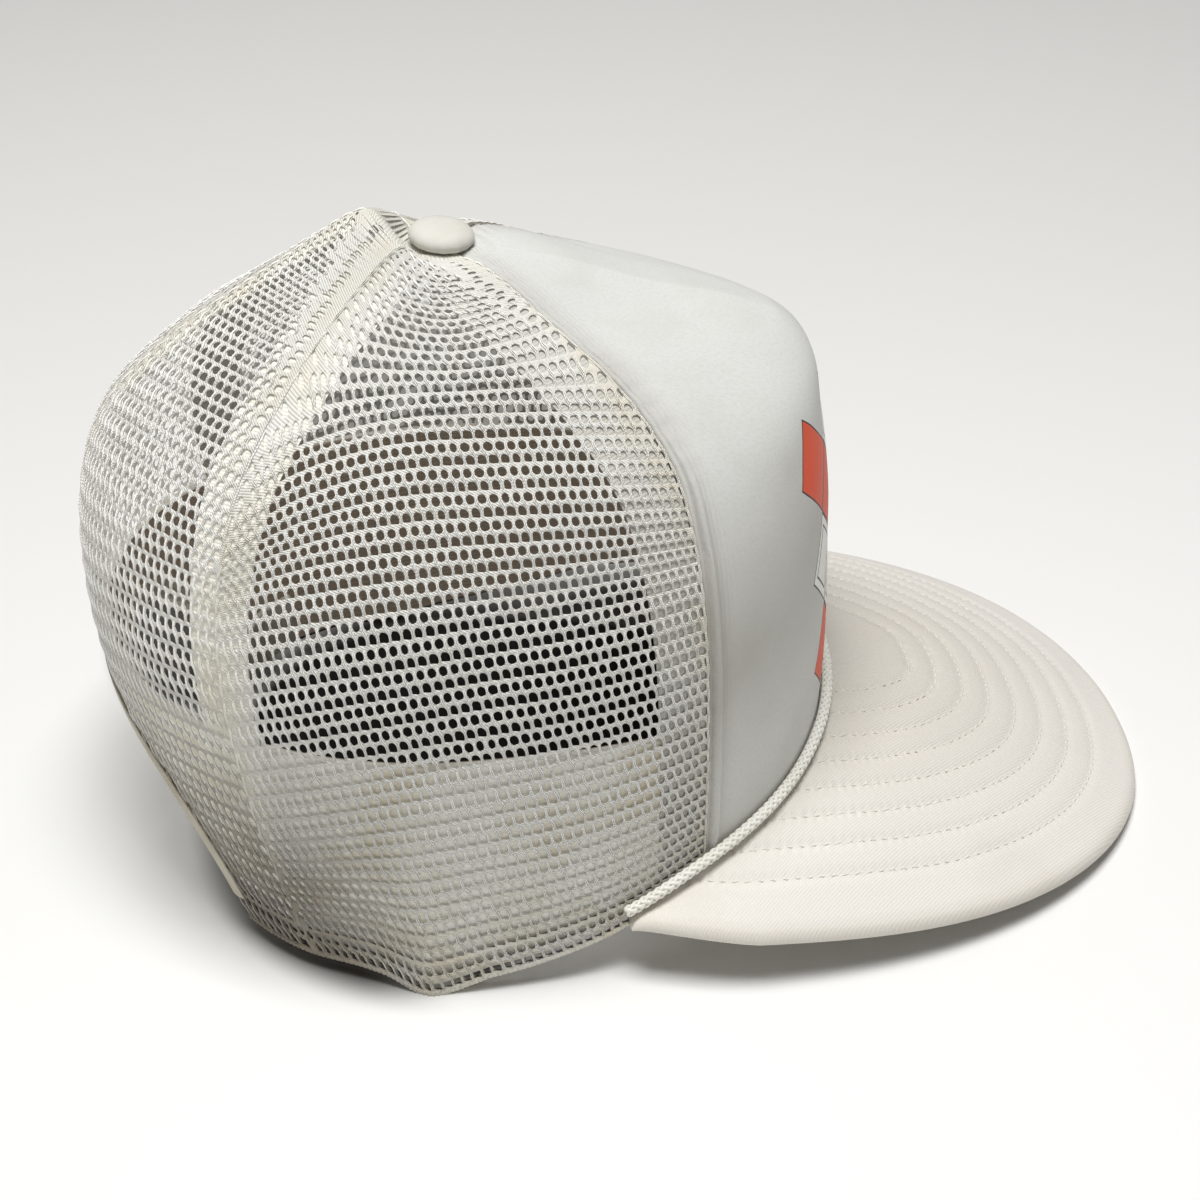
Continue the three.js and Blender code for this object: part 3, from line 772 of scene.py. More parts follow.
def netLayer(panel, firstClimb, lastClimb, front, back, seed, parity=0):
    # One layer of net as a closed body: points as (x, climb, depth), and faces
    chance = random.Random(seed)
    pitch = netWork["pitch"]
    lines = rowLines(firstClimb, lastClimb)
    rows = len(lines) - 1
    lefts = [-seamHalf(panel, c, -1) for c in lines]
    rights = [seamHalf(panel, c, 1) for c in lines]
    points, faces = [], []
    thick = back - front

    def add(x, climb, depth):
        points.append((x, climb, depth))
        return len(points) - 1

    middles, middle = [], 0.13 * pitch
    for row in range(rows):
        middles.append(middle)
        middle += netWork["shiftUp"][(row + parity) % 2] * pitch
    posts, cornersUp, cornersDown = [], [], []
    for row in range(rows):
        lean = netWork["lean"] * pitch
        lowRoom = (lefts[row] + 0.35 * pitch, rights[row] - 0.35 * pitch)
        highRoom = (lefts[row + 1] + 0.35 * pitch, rights[row + 1] - 0.35 * pitch)
        found = []
        widest = max(rights[row], -lefts[row], rights[row + 1])
        reach = int(widest / pitch) + 2
        for n in range(-reach, reach + 1):
            jolt = chance.uniform(-1, 1) * netWork["uneven"] * 0.35 * pitch
            place = middles[row] + n * pitch
            # The net lies wider in the middle of a panel than beside its seams
            place = place * (1.05 - 0.053 * min(1.0, (place / widest) ** 2))
            low = place + lean + jolt
            high = place - lean + jolt
            if lowRoom[0] < low < lowRoom[1] and highRoom[0] < high < highRoom[1]:
                found.append((low, high))
        posts.append([(lefts[row], lefts[row + 1])] + found + [(rights[row], rights[row + 1])])
    # Points along each line, shared by the rows on both sides of it
    lineIds, lowIds, highIds = [], [dict() for r in range(rows)], [dict() for r in range(rows)]
    for k, climb in enumerate(lines):
        marks = []
        if k < rows:
            marks += [(low, "low", n) for n, (low, high) in enumerate(posts[k])][1:-1]
        if k > 0:
            marks += [(high, "high", n) for n, (low, high) in enumerate(posts[k - 1])][1:-1]
        marks.sort()
        ids = [(add(lefts[k], climb, 0), add(lefts[k], climb, thick))]
        for x, kind, n in marks:
            pair = (add(x, climb, 0), add(x, climb, thick))
            (lowIds[k] if kind == "low" else highIds[k - 1])[n] = len(ids)
            ids.append(pair)
        ids.append((add(rights[k], climb, 0), add(rights[k], climb, thick)))
        if k < rows:
            lowIds[k][0] = 0
            lowIds[k][len(posts[k]) - 1] = len(ids) - 1
        if k > 0:
            highIds[k - 1][0] = 0
            highIds[k - 1][len(posts[k - 1]) - 1] = len(ids) - 1
        lineIds.append(ids)
    used = {}
    for row in range(rows):
        tall = lines[row + 1] - lines[row]
        middleIds = []
        for n, (low, high) in enumerate(posts[row]):
            x = (low + high) / 2
            climb = (lines[row] + lines[row + 1]) / 2
            groove = 0.0 if n in (0, len(posts[row]) - 1) else 0.1
            middleIds.append((add(x, climb, groove), add(x, climb, thick - groove)))
        peaked = (row + parity) % 2 == 0
        for n in range(len(posts[row]) - 1):
            (lowA, highA), (lowB, highB) = posts[row][n], posts[row][n + 1]
            centreX = (lowA + highA + lowB + highB) / 4
            centreC = (lines[row] + lines[row + 1]) / 2
            if panel.closed is not None and panel.closed(centreX, lines[row], pitch, tall):
                continue
            loop = [lineIds[row][k] for k in range(lowIds[row][n], lowIds[row][n + 1] + 1)]
            loop.append(middleIds[n + 1])
            top = range(highIds[row][n], highIds[row][n + 1] + 1)
            loop += [lineIds[row + 1][k] for k in top][::-1]
            loop.append(middleIds[n])
            for a, b in zip(loop, loop[1:] + loop[:1]):
                used[(a, b)] = True
            atLeft, atRight = n == 0, n == len(posts[row]) - 2
            left = (lowA + highA) / 2 + (netWork["seamStrip"] if atLeft else netWork["postWide"] / 2)
            right = (lowB + highB) / 2 - (netWork["seamStrip"] if atRight else netWork["postWide"] / 2)
            width = (right - left) / 2
            height = (tall - netWork["barWide"] * (0.6 + 0.12 * tall)) / 2
            if width < 0.3 or height < 0.3:
                faces.append([pair[0] for pair in loop])
                faces.append([pair[1] for pair in loop][::-1])
                continue
            swell = 1 + 0.5 * netWork["uneven"] * float(wavy(centreX, centreC, 21.0, 9))
            packed = 1 - 0.55 * float(smooth(netWork["denseFrom"], 3, panel.climbs[-1] - centreC))
            toRear = abs((rights[row] if panel.rearSign > 0 else lefts[row]) - centreX)
            dense = packed * (1 - 0.3 * panel.sags * float(smooth(14, 8, toRear)))
            width = min(width, pitch * 0.42) * (swell + chance.uniform(-1, 1) * netWork["uneven"]) * dense
            height = height * (1 + chance.uniform(-0.5, 0.5) * netWork["uneven"]) * packed
            middleX = (left + right) / 2
            lean = 2 * netWork["lean"] * pitch / tall
            holeRings = []
            # The hole is narrowest at its front ring. The far one has every second corner and is wider
            for every, grow, depth in ((1, 0.0, 0.4 * thick), (2, netWork["holeFlare"], 0.85 * thick)):
                ring = []
                for px, py in (peakedHole if peaked else roundHole)[::every]:
                    y = py * (height + grow)
                    ring.append(add(middleX + px * (width + grow) - lean * y, centreC + y, depth))
                holeRings.append(ring)

            def turns(ids):
                found = [math.atan2(points[i][1] - centreC, points[i][0] - middleX) for i in ids]
                first = found.index(min(found))
                ids = list(ids[first:]) + list(ids[:first])
                found = found[first:] + found[:first]
                for k in range(1, len(found)):
                    found[k] = max(found[k], found[k - 1] + 1e-6)
                return ids, found

            def bridge(outerIds, innerIds, turned):
                outerRing, outerTurn = turns(outerIds)
                innerRing, innerTurn = turns(innerIds)
                outerRing, innerRing = outerRing + outerRing[:1], innerRing + innerRing[:1]
                outerTurn.append(outerTurn[0] + 2 * math.pi)
                innerTurn.append(innerTurn[0] + 2 * math.pi)
                a = b = 0
                while a < len(outerTurn) - 1 or b < len(innerTurn) - 1:
                    nextOuter = outerTurn[a + 1] if a < len(outerTurn) - 1 else 1e9
                    nextInner = innerTurn[b + 1] if b < len(innerTurn) - 1 else 1e9
                    if nextOuter <= nextInner:
                        face = [outerRing[a], outerRing[a + 1], innerRing[b]]
                        a += 1
                    else:
                        face = [outerRing[a], innerRing[b + 1], innerRing[b]]
                        b += 1
                    faces.append(face[::-1] if turned else face)

            bridge([pair[0] for pair in loop], holeRings[0], False)
            bridge(holeRings[0], holeRings[1], False)
            bridge([pair[1] for pair in loop], holeRings[1], True)
    for a, b in used:
        if (b, a) not in used:
            faces.append([b[0], a[0], a[1], b[1]])
    points = np.array(points)
    points[:, 2] += front
    keep = sorted({k for face in faces for k in face})
    renumber = np.full(len(points), -1)
    renumber[keep] = np.arange(len(keep))
    faces = [[int(renumber[k]) for k in face] for face in faces]
    return points[keep], faces, lines, posts


def strandsOver(panel, lines, posts):
    # Satin yarns down the posts, which cross the bar above each peaked row to the next post on the right
    pitch = netWork["pitch"]
    chance = random.Random(31)
    heights = np.array([0.93, 0.55, 0.24, 0.0, -0.24, -0.55, -0.92])
    crossed = smooth(-0.27, 0.27, -heights)
    proud = np.array([-0.06, 0.06, 0.14, netWork["strandProud"], 0.14, 0.06, -0.06])
    paths = []
    for row in range(1, len(lines) - 1, 2):
        tall = lines[row + 1] - lines[row]
        lower = posts[row - 1][1:-1]
        if not lower:
            continue
        for end in panel.seamEnds:
            (low, high), below = posts[row][end], posts[row - 1][end]
            if panel.closed is not None and panel.closed(low, lines[row] - tall, pitch, 2 * tall):
                continue
            edge = low + (high - low) * np.maximum(heights, 0)
            edge = edge + (below[1] - below[0]) * np.minimum(heights, 0)
            for aside in (0.02, 0.36):
                x = edge - np.sign(low) * (aside + 0.1 * np.sin(3.1 * heights))
                paths.append(np.stack([x, lines[row] + tall * heights * 1.06, 0.04 - proud], axis=1))
        tops = np.array([high for low, high in lower])
        for low, high in posts[row][1:-1]:
            wanted = low + netWork["strandShift"] * pitch
            n = int(np.abs(tops - wanted).argmin())
            if abs(tops[n] - wanted) > 0.4 * pitch:
                continue
            if panel.closed is not None and panel.closed(low, lines[row] - tall, pitch, 2 * tall):
                continue
            upperX = low + (high - low) * np.maximum(heights, 0)
            lowerX = lower[n][1] + (lower[n][1] - lower[n][0]) * np.minimum(heights, 0)
            for beside, higher in ((-1, -0.03), (1, 0.03)):
                side = beside * netWork["strandBeside"] + chance.uniform(-0.05, 0.05)
                x = upperX * (1 - crossed) + lowerX * crossed + side
                climb = lines[row] + tall * (heights + higher)
                paths.append(np.stack([x, climb, -proud + chance.uniform(-0.03, 0.03)], axis=1))
    paths = np.array(paths)
    angle, level, place = netPlace(panel, paths[..., 0], paths[..., 1], paths[..., 2])
    points, faces = tubes(place, crownNormal(angle, level), netWork["strandWide"], netWork["strandHigh"], 3)
    flat = np.repeat(paths[..., :2].reshape(-1, 2), 3, axis=0)
    return points, faces, flat


def edgeValues(panel, flat):
    level = panel.levelAt(flat[:, 1])
    return np.stack([panel.half(level) - np.abs(flat[:, 0]), flat[:, 1]], axis=1)


def buildNet(name, startAt, endAt, rearSign, seed, hasArch):
    panel = Panel(startAt, endAt)
    panel.rearSign = rearSign
    panel.closed = None
    panel.sags = 0 if hasArch else 1
    panel.seamEnds = (0, -1)
    if hasArch:
        panel.seamEnds = (-1,) if rearSign > 0 else ()

        def closed(x, low, wide, tall):
            xs = np.array([x - wide / 2, x + wide / 2, x - wide / 2, x + wide / 2])
            climbs = np.array([low, low, low + tall, low + tall])
            angle, level, place = netPlace(panel, xs, climbs, np.zeros(4))
            return bool(np.any(level < archLevel(angle, 0.6, 0.02)))

        panel.closed = closed
    top = panel.climbs[-1]
    body, faces, lines, posts = netLayer(panel, netWork["hemBar"], top, 0.0, netWork["thick"], seed)
    fold, foldFaces = netLayer(panel, netWork["hemBar"], lines[2], netWork["thick"] + 0.1,
                               2 * netWork["thick"] + 0.1, seed + 1, 1)[:2]
    flat, allFaces = merge((body, faces), (fold, foldFaces))
    angle, level, points = netPlace(panel, flat[:, 0], flat[:, 1], flat[:, 2])
    # The folded edge along the hem, clear of the arch
    x = np.linspace(-panel.half(0), panel.half(0), 300)
    if hasArch:
        hemAngle = panel.angleAt(x, np.zeros(len(x)))
        x = x[np.abs(hemAngle) < 180 - arch["halfAngle"] - 1.5]
    climb = np.linspace(0, netWork["hemBar"] + 0.3, 3)[:, None]
    gridX, gridC = np.broadcast_arrays(x[None, :], climb)
    gridLevel = panel.levelAt(gridC)
    gridAngle = panel.angleAt(gridX, gridLevel)
    loops = np.abs(np.sin(gridX * np.pi / netWork["hemLoop"]))
    outer = crownInside(gridAngle, gridLevel, 0.12 - 0.34 * loops)
    inner = crownInside(gridAngle, gridLevel, np.full(gridX.shape, 2 * netWork["thick"] + 0.2))
    barPoints, barFaces, spread = closedSheet(outer, inner, bulge=0.25)
    points, allFaces = merge((points, allFaces), (barPoints, barFaces))
    flat = np.vstack([flat[:, :2], spread(gridX, gridC)])
    strandPoints, strandFaces, strandFlat = strandsOver(panel, lines, posts)
    label = name.replace("mesh", "net")
    piece = addMesh(label, points, allFaces, net, (name,), flat, edgeValues(panel, flat), 62)
    strands = addMesh(label + "_strands", strandPoints, strandFaces, satinAndHighlight, (), strandFlat,
                      edgeValues(panel, strandFlat), 150)
    area = float((np.diff(panel.climbs) * (panel.halves[1:] + panel.halves[:-1])).sum())
    if hasArch:  # the cut leaves out the arch's half
        cut = float(np.mean(archLevel(180 - arch["halfAngle"] * np.linspace(0, 1, 60))))
        area -= cut * panel.climbAt(1) * panel.half(1) * 1.3
    print(name, len(allFaces), "faces", len(strandFaces), "in strands")


def inFrom(seam, distance):
    return lambda level: shifted(seam(level), level, distance)


def rightOf(seam):
    return lambda level: -seam(level)


def rear(level):
    return np.full(np.shape(level), 180.0)


rightFront, rightBack = rightOf(frontSeam), rightOf(backSeam)
buildNet("mesh_side_left", inFrom(frontSeam, half), inFrom(backSeam, -netHalf), 1, 41, False)
buildNet("mesh_side_right", inFrom(rightBack, netHalf), inFrom(rightFront, -half), -1, 43, False)
buildNet("mesh_back_left", inFrom(backSeam, netHalf), inFrom(rear, -netHalf), 1, 45, True)
buildNet("mesh_back_right", inFrom(rightOf(rear), netHalf), inFrom(rightBack, -netHalf), -1, 47, True)
print("net made")

# Foam front

foamShape = {
    "thick": 3.0,
    "rollIn": 1.1,
    "ridge": 1.3,
    "ridgeAt": 2.6,
    "ridgeWide": 1.0,
    "groove": 0.95,
    "grooveAt": 1.1,
    "dents": 0.7,
    "pucker": 0.22,
    "puckerPitch": 4.4,
    "fineMargin": 9.0,
    "rows": 118,
    "columns": 115,
}


def buildFoam():
    look = foamShape
    panel = Panel(lambda level: -shifted(frontSeam(level), level, -half),
                  lambda level: shifted(frontSeam(level), level, -half))
    margin = np.array([0, 0.35, 0.75, 1.1, 1.5, 2.0, 2.6, 3.2, 3.9, 4.8, 6.0, 7.4, look["fineMargin"]])
    levels = crown["panelTop"] * np.linspace(0, 1, look["rows"]) ** 0.97
    halves = panel.half(levels)
    inner = np.linspace(-1, 1, look["columns"])[1:-1]
    x = np.hstack([margin[None, :] - halves[:, None],
                   inner[None, :] * (halves[:, None] - look["fineMargin"]),
                   halves[:, None] - margin[None, ::-1]])
    level = np.broadcast_to(levels[:, None], x.shape)
    angle = panel.angleAt(x, level)
    climb = panel.climbAt(level)
    toSeam = halves[:, None] - np.abs(x)
    low = 1 - smooth(4.3, 5.6, level)
    footing = smooth(0.15, 0.7, level)
    lift = -look["rollIn"] * dip(toSeam, 0, 0.6)
    lift = lift + low * footing * look["ridge"] * dip(toSeam, look["ridgeAt"], look["ridgeWide"])
    lift = lift - (0.4 + 0.6 * low) * look["groove"] * dip(toSeam, look["grooveAt"], 0.5)
    pucker = np.sin(climb * 2 * np.pi / look["puckerPitch"] + 1.4 * wavy(x, climb, 30, 3))
    lift = lift + (1 - low) * look["pucker"] * pucker * dip(toSeam, 3.0, 3.2)
    dents = wavy(x, climb, 62, 21) + 0.35 * wavy(x, climb, 24, 22)
    lift = lift + look["dents"] * 0.5 * dents * smooth(1, 14, toSeam) * smooth(0.1, 1.2, level)
    outerFace = crownInside(angle, level, -lift)
    innerFace = crownInside(angle, level, np.full(x.shape, look["thick"]))
    points, faces, spread = closedSheet(outerFace, innerFace, bulge=0.3)
    piece = addMesh("foam_front_cloth", points, faces, foam, ("front_panel",),
                    spread(x, climb), spread(toSeam, climb), 60)


buildFoam()
print("foam front made")

# Tapes and sweatband

tape = {"halfWidth": 7.6, "maxHalfAngle": 17, "from": 0.5, "to": 7.8, "depth": 0.66, "crease": 0.07,
        "thick": 0.5, "rows": 90, "columns": 11}


def buildTape(name, centre, startShare, endShare, fromLevel, fabric):
    levels = np.linspace(fromLevel, tape["to"], tape["rows"])[:, None]
    middle = centre(levels)
    halfAngle = np.minimum(shifted(middle, levels, tape["halfWidth"]) - middle, tape["maxHalfAngle"])
    share = np.linspace(startShare, endShare, tape["columns"])[None, :]
    angle = middle + halfAngle * share
    level = np.broadcast_to(levels, angle.shape)
    acrossMm = share * tape["halfWidth"] + 0 * angle
    outer = crownPoint(angle, level)
    climb = np.cumsum(np.linalg.norm(np.diff(outer, axis=0, prepend=outer[:1]), axis=2), axis=0)
    crease = tape["crease"] * wavy(acrossMm, climb, 16, 8)
    points, faces, spread = closedSheet(
        crownInside(angle, level, tape["depth"] - crease),
        crownInside(angle, level, tape["depth"] + tape["thick"] - crease), bulge=0.2)
    piece = addMesh(name + "_cloth", points, faces, fabric, (name,), spread(acrossMm, climb))


buildTape("front_seam_tape_left", frontSeam, 0.1, 1.75, tape["from"], frontTapeFabric)
buildTape("front_seam_tape_right", rightOf(frontSeam), -1.75, -0.1, tape["from"], frontTapeFabric)
buildTape("side_seam_tape_left", backSeam, -1, 1, tape["from"], tapeFabric)
buildTape("side_seam_tape_right", rightOf(backSeam), -1, 1, tape["from"], tapeFabric)
buildTape("back_seam_tape", rear, -1, 1, arch["topLevel"] + 0.06, tapeFabric)

band = {"front": 1.2, "side": 2.42, "back": 2.55, "depth": 1.0, "hemDepth": 1.35, "foamDepth": 3.4,
        "thick": 2.4, "aboveHem": 0.09, "wave": 0.1, "perLevel": 26, "columns": 360, "rows": 16}


def buildBand():
    angle = np.linspace(-180, 180, band["columns"], endpoint=False)[None, :]
    c = np.cos(np.radians(angle))
    top = band["side"] + (np.where(c > 0, band["front"], band["back"]) - band["side"]) * c * c
    start = np.maximum(archEdgeLevel(angle), band["aboveHem"])
    share = np.linspace(0, 1, band["rows"])[:, None]
    level = start + (top - start) * share
    up = level * band["perLevel"]
    angle = np.broadcast_to(angle, level.shape)
    outer = crownPoint(angle, level)
    step = np.linalg.norm(np.diff(outer, axis=1, prepend=outer[:, :1]), axis=2)
    run = np.cumsum(step, axis=1)
    wave = band["wave"] * wavy(run, up, 26, 14) * np.sin(np.pi * share)
    behindNet = smooth(59, 63, np.abs(angle))
    depth = band["foamDepth"] + (band["depth"] - band["foamDepth"]) * behindNet
    depth = depth + (band["hemDepth"] - band["depth"]) * (1 - smooth(0.3, 0.5, level)) * behindNet - wave
    points, faces, spread = closedSheet(
        crownInside(angle, level, depth), crownInside(angle, level, depth + band["thick"]), True, 0.3)
    piece = addMesh("sweatband_cloth", points, faces, bandFabric, ("sweatband",), spread(run, up))


buildBand()
print("tapes and band made")

# Binding of the arch, and the strap

binding = {"proud": 0.5, "inner": 5.3, "legOver": 4.4, "noseOut": 1.7, "cloth": 0.6, "endShare": 0.995,
           "steps": 120}


def buildBinding():
    steps = binding["steps"]
    share = binding["endShare"] * np.cos(np.pi * np.linspace(0, 1, steps))
    angle = 180 - arch["halfAngle"] * share
    level = archLevel(np.where(angle > 180, 360 - angle, angle))
    here = crownInside(angle, level, np.zeros(steps))
    tangent = unit(np.gradient(crownPoint(angle, level), axis=0))
    normal = crownNormal(angle, level)
    intoArch = unit(np.cross(tangent, normal))
    proud, deep, leg, nose = (binding[k] for k in ("proud", "inner", "legOver", "noseOut"))
    cloth = binding["cloth"]
    outside = [(proud, -leg), (proud + 0.1, -leg * 0.5), (proud, 0), (proud * 0.4, nose * 0.6),
               (-deep * 0.15, nose * 0.95), (-deep * 0.45, nose), (-deep * 0.72, nose * 0.92),
               (-deep * 0.93, nose * 0.55), (-deep, 0), (-deep, -leg * 0.4), (-deep, -leg)]
    inside = [(-deep + cloth * 0.7, -leg), (-deep + cloth * 0.7, 0), (-deep * 0.8, nose * 0.5),
              (-deep * 0.45, nose - cloth), (-deep * 0.15, nose * 0.5), (0.15, 0), (0.18, -leg)]
    section = np.array(outside + inside)
    ringPoints = here[:, None] + normal[:, None] * section[None, :, :1]
    ringPoints = ringPoints + intoArch[:, None] * section[None, :, 1:]
    ringPoints[..., 2] = np.maximum(ringPoints[..., 2], 0.3)
    points, faces = sweep(ringPoints)
    run = np.cumsum(np.linalg.norm(np.diff(here, axis=0, prepend=here[:1]), axis=1))
    around = np.cumsum(np.linalg.norm(np.diff(section, axis=0, prepend=section[:1]), axis=1))
    flat = np.stack([np.repeat(run, len(section)), np.tile(around, steps)], axis=1)
    piece = addMesh("arch_binding_cloth", points, facingOut(points, faces), bindingFabric,
                    ("arch_binding",), flat, None, 55)


buildBinding()

strap = {"thick": 1.8, "bottom": 9, "top": 26, "endAngle": 128, "seatedTo": 138, "seatLevel": 0.12,
         "seatDepth": 5.7, "straightHalf": 24, "straightReach": 60.5, "corner": 0.55}


def centripetal(knots, count):
    # A centripetal Catmull-Rom curve through the knots
    knots = np.array(knots, float)
    knots = np.vstack([2 * knots[0] - knots[1], knots, 2 * knots[-1] - knots[-2]])
    found = []
    for t in np.linspace(0, len(knots) - 3, count):
        k = min(int(t), len(knots) - 4)
        p = knots[k:k + 4]
        times = np.concatenate([[0], np.cumsum(np.sqrt(np.linalg.norm(np.diff(p, axis=0), axis=1)))])
        at = times[1] + (t - k) * (times[2] - times[1])

        def between(a, b, i, j):
            return ((times[j] - at) * a + (at - times[i]) * b) / (times[j] - times[i])

        a1, a2, a3 = between(p[0], p[1], 0, 1), between(p[1], p[2], 1, 2), between(p[2], p[3], 2, 3)
        found.append(between(between(a1, a2, 0, 2), between(a2, a3, 1, 3), 1, 2))
    return np.array(found)


def buildStrap():
    def seat(angle):
        x, y, z = crownInside(angle, strap["seatLevel"], strap["seatDepth"])
        return [x, y, 0]

    middleY = crown["centreY"] + strap["straightReach"]
    plan = centripetal([seat(strap["endAngle"]), seat(strap["seatedTo"]), [strap["straightHalf"], middleY, 0],
                        [-strap["straightHalf"], middleY, 0], seat(-strap["seatedTo"]),
                        seat(-strap["endAngle"])], 90)
    tangent = unit(np.gradient(plan, axis=0))
    inwards = np.stack([-tangent[:, 1], tangent[:, 0], np.zeros(len(plan))], axis=1)
    corner, low, high, thick = (strap[k] for k in ("corner", "bottom", "top", "thick"))
    section = []
    for centreDepth, centreHeight, start in ((corner, low + corner, 180), (thick - corner, low + corner, 270),
                                             (thick - corner, high - corner, 0), (corner, high - corner, 90)):
        for turn in (0, 30, 60, 90):
            way = math.radians(start + turn)
            section.append((centreDepth + corner * math.cos(way), centreHeight + corner * math.sin(way)))
    section = np.array(section)
    ringPoints = plan[:, None] + inwards[:, None] * section[None, :, :1]
    ringPoints[..., 2] = section[None, :, 1]
    points, faces = sweep(ringPoints)
    faces = facingOut(points, faces)
    addMesh("snap_strap_band", points, faces, plastic, ("snap_strap",), None, None, 40)


buildStrap()
print("binding and strap made")

# Brim

brim = {
    "half": 88.5, "turnY": -65, "tip": -184.5, "squareness": 2.23, "thick": 3.6, "rise": 2.6,
    "fullRiseReach": 60, "cornerX": 81.5, "cornerY": -34, "cornerAngle": 112, "cornerEase": 1.6,
    "rootAngle": 72, "edgeRound": 1.9, "rows": 8, "firstRow": 12.3, "rowPitch": 7.3, "channel": 0.72,
    "channelWide": 1.5, "stitch": 2.35, "stitchGap": 0.75, "threadRadius": 0.21, "stitchedFrom": 60,
    "cornerTaper": 0.035, "columns": 400, "upperRows": 112, "lowerRows": 26, "rimShare": 0.47,
    "stitchEndIn": 0.22, "stitchOut": 0.06,
}
# angle, height of the underside
brimEdgeRows = [[0, 0], [12, 0], [30, 1.8], [60, 6.3], [90, 12.5], [112, 15.5]]


def brimEdgePoint(angle):
    size = np.abs(angle)
    c, s = np.cos(np.radians(angle)), np.sin(np.radians(angle))
    power = 2 / brim["squareness"]
    x = brim["half"] * signedPower(s, power)
    y = brim["turnY"] + (brim["tip"] - brim["turnY"]) * np.abs(c) ** power
    back = np.maximum(size - 90, 0) / (brim["cornerAngle"] - 90)
    behind = size > 90
    x = np.where(behind, np.sign(angle) * (brim["half"] + (brim["cornerX"] - brim["half"])
                                           * back ** brim["cornerEase"]), x)
    y = np.where(behind, brim["turnY"] + (brim["cornerY"] - brim["turnY"]) * back, y)
    return np.stack([x, y + crown["centreY"], np.maximum(0, along(brimEdgeRows, size))], axis=-1)


def distanceTo(line, points):
    # Plan distance from each point to a polyline, with the run along the line
    start, end = line[:-1], line[1:]
    span = end - start
    length = np.linalg.norm(span, axis=1)
    runs = np.concatenate([[0], np.cumsum(length)])
    nearest, where = [], []
    for chunk in np.array_split(points, max(1, len(points) // 4000)):
        away = chunk[:, None] - start[None]
        share = clamp01((away * span[None]).sum(axis=2) / (length ** 2)[None])
        gap = np.linalg.norm(away - span[None] * share[..., None], axis=2)
        best = gap.argmin(axis=1)
        pick = np.arange(len(chunk))
        nearest.append(gap[pick, best])
        where.append(runs[best] + share[pick, best] * length[best])
    return np.concatenate(nearest), np.concatenate(where)


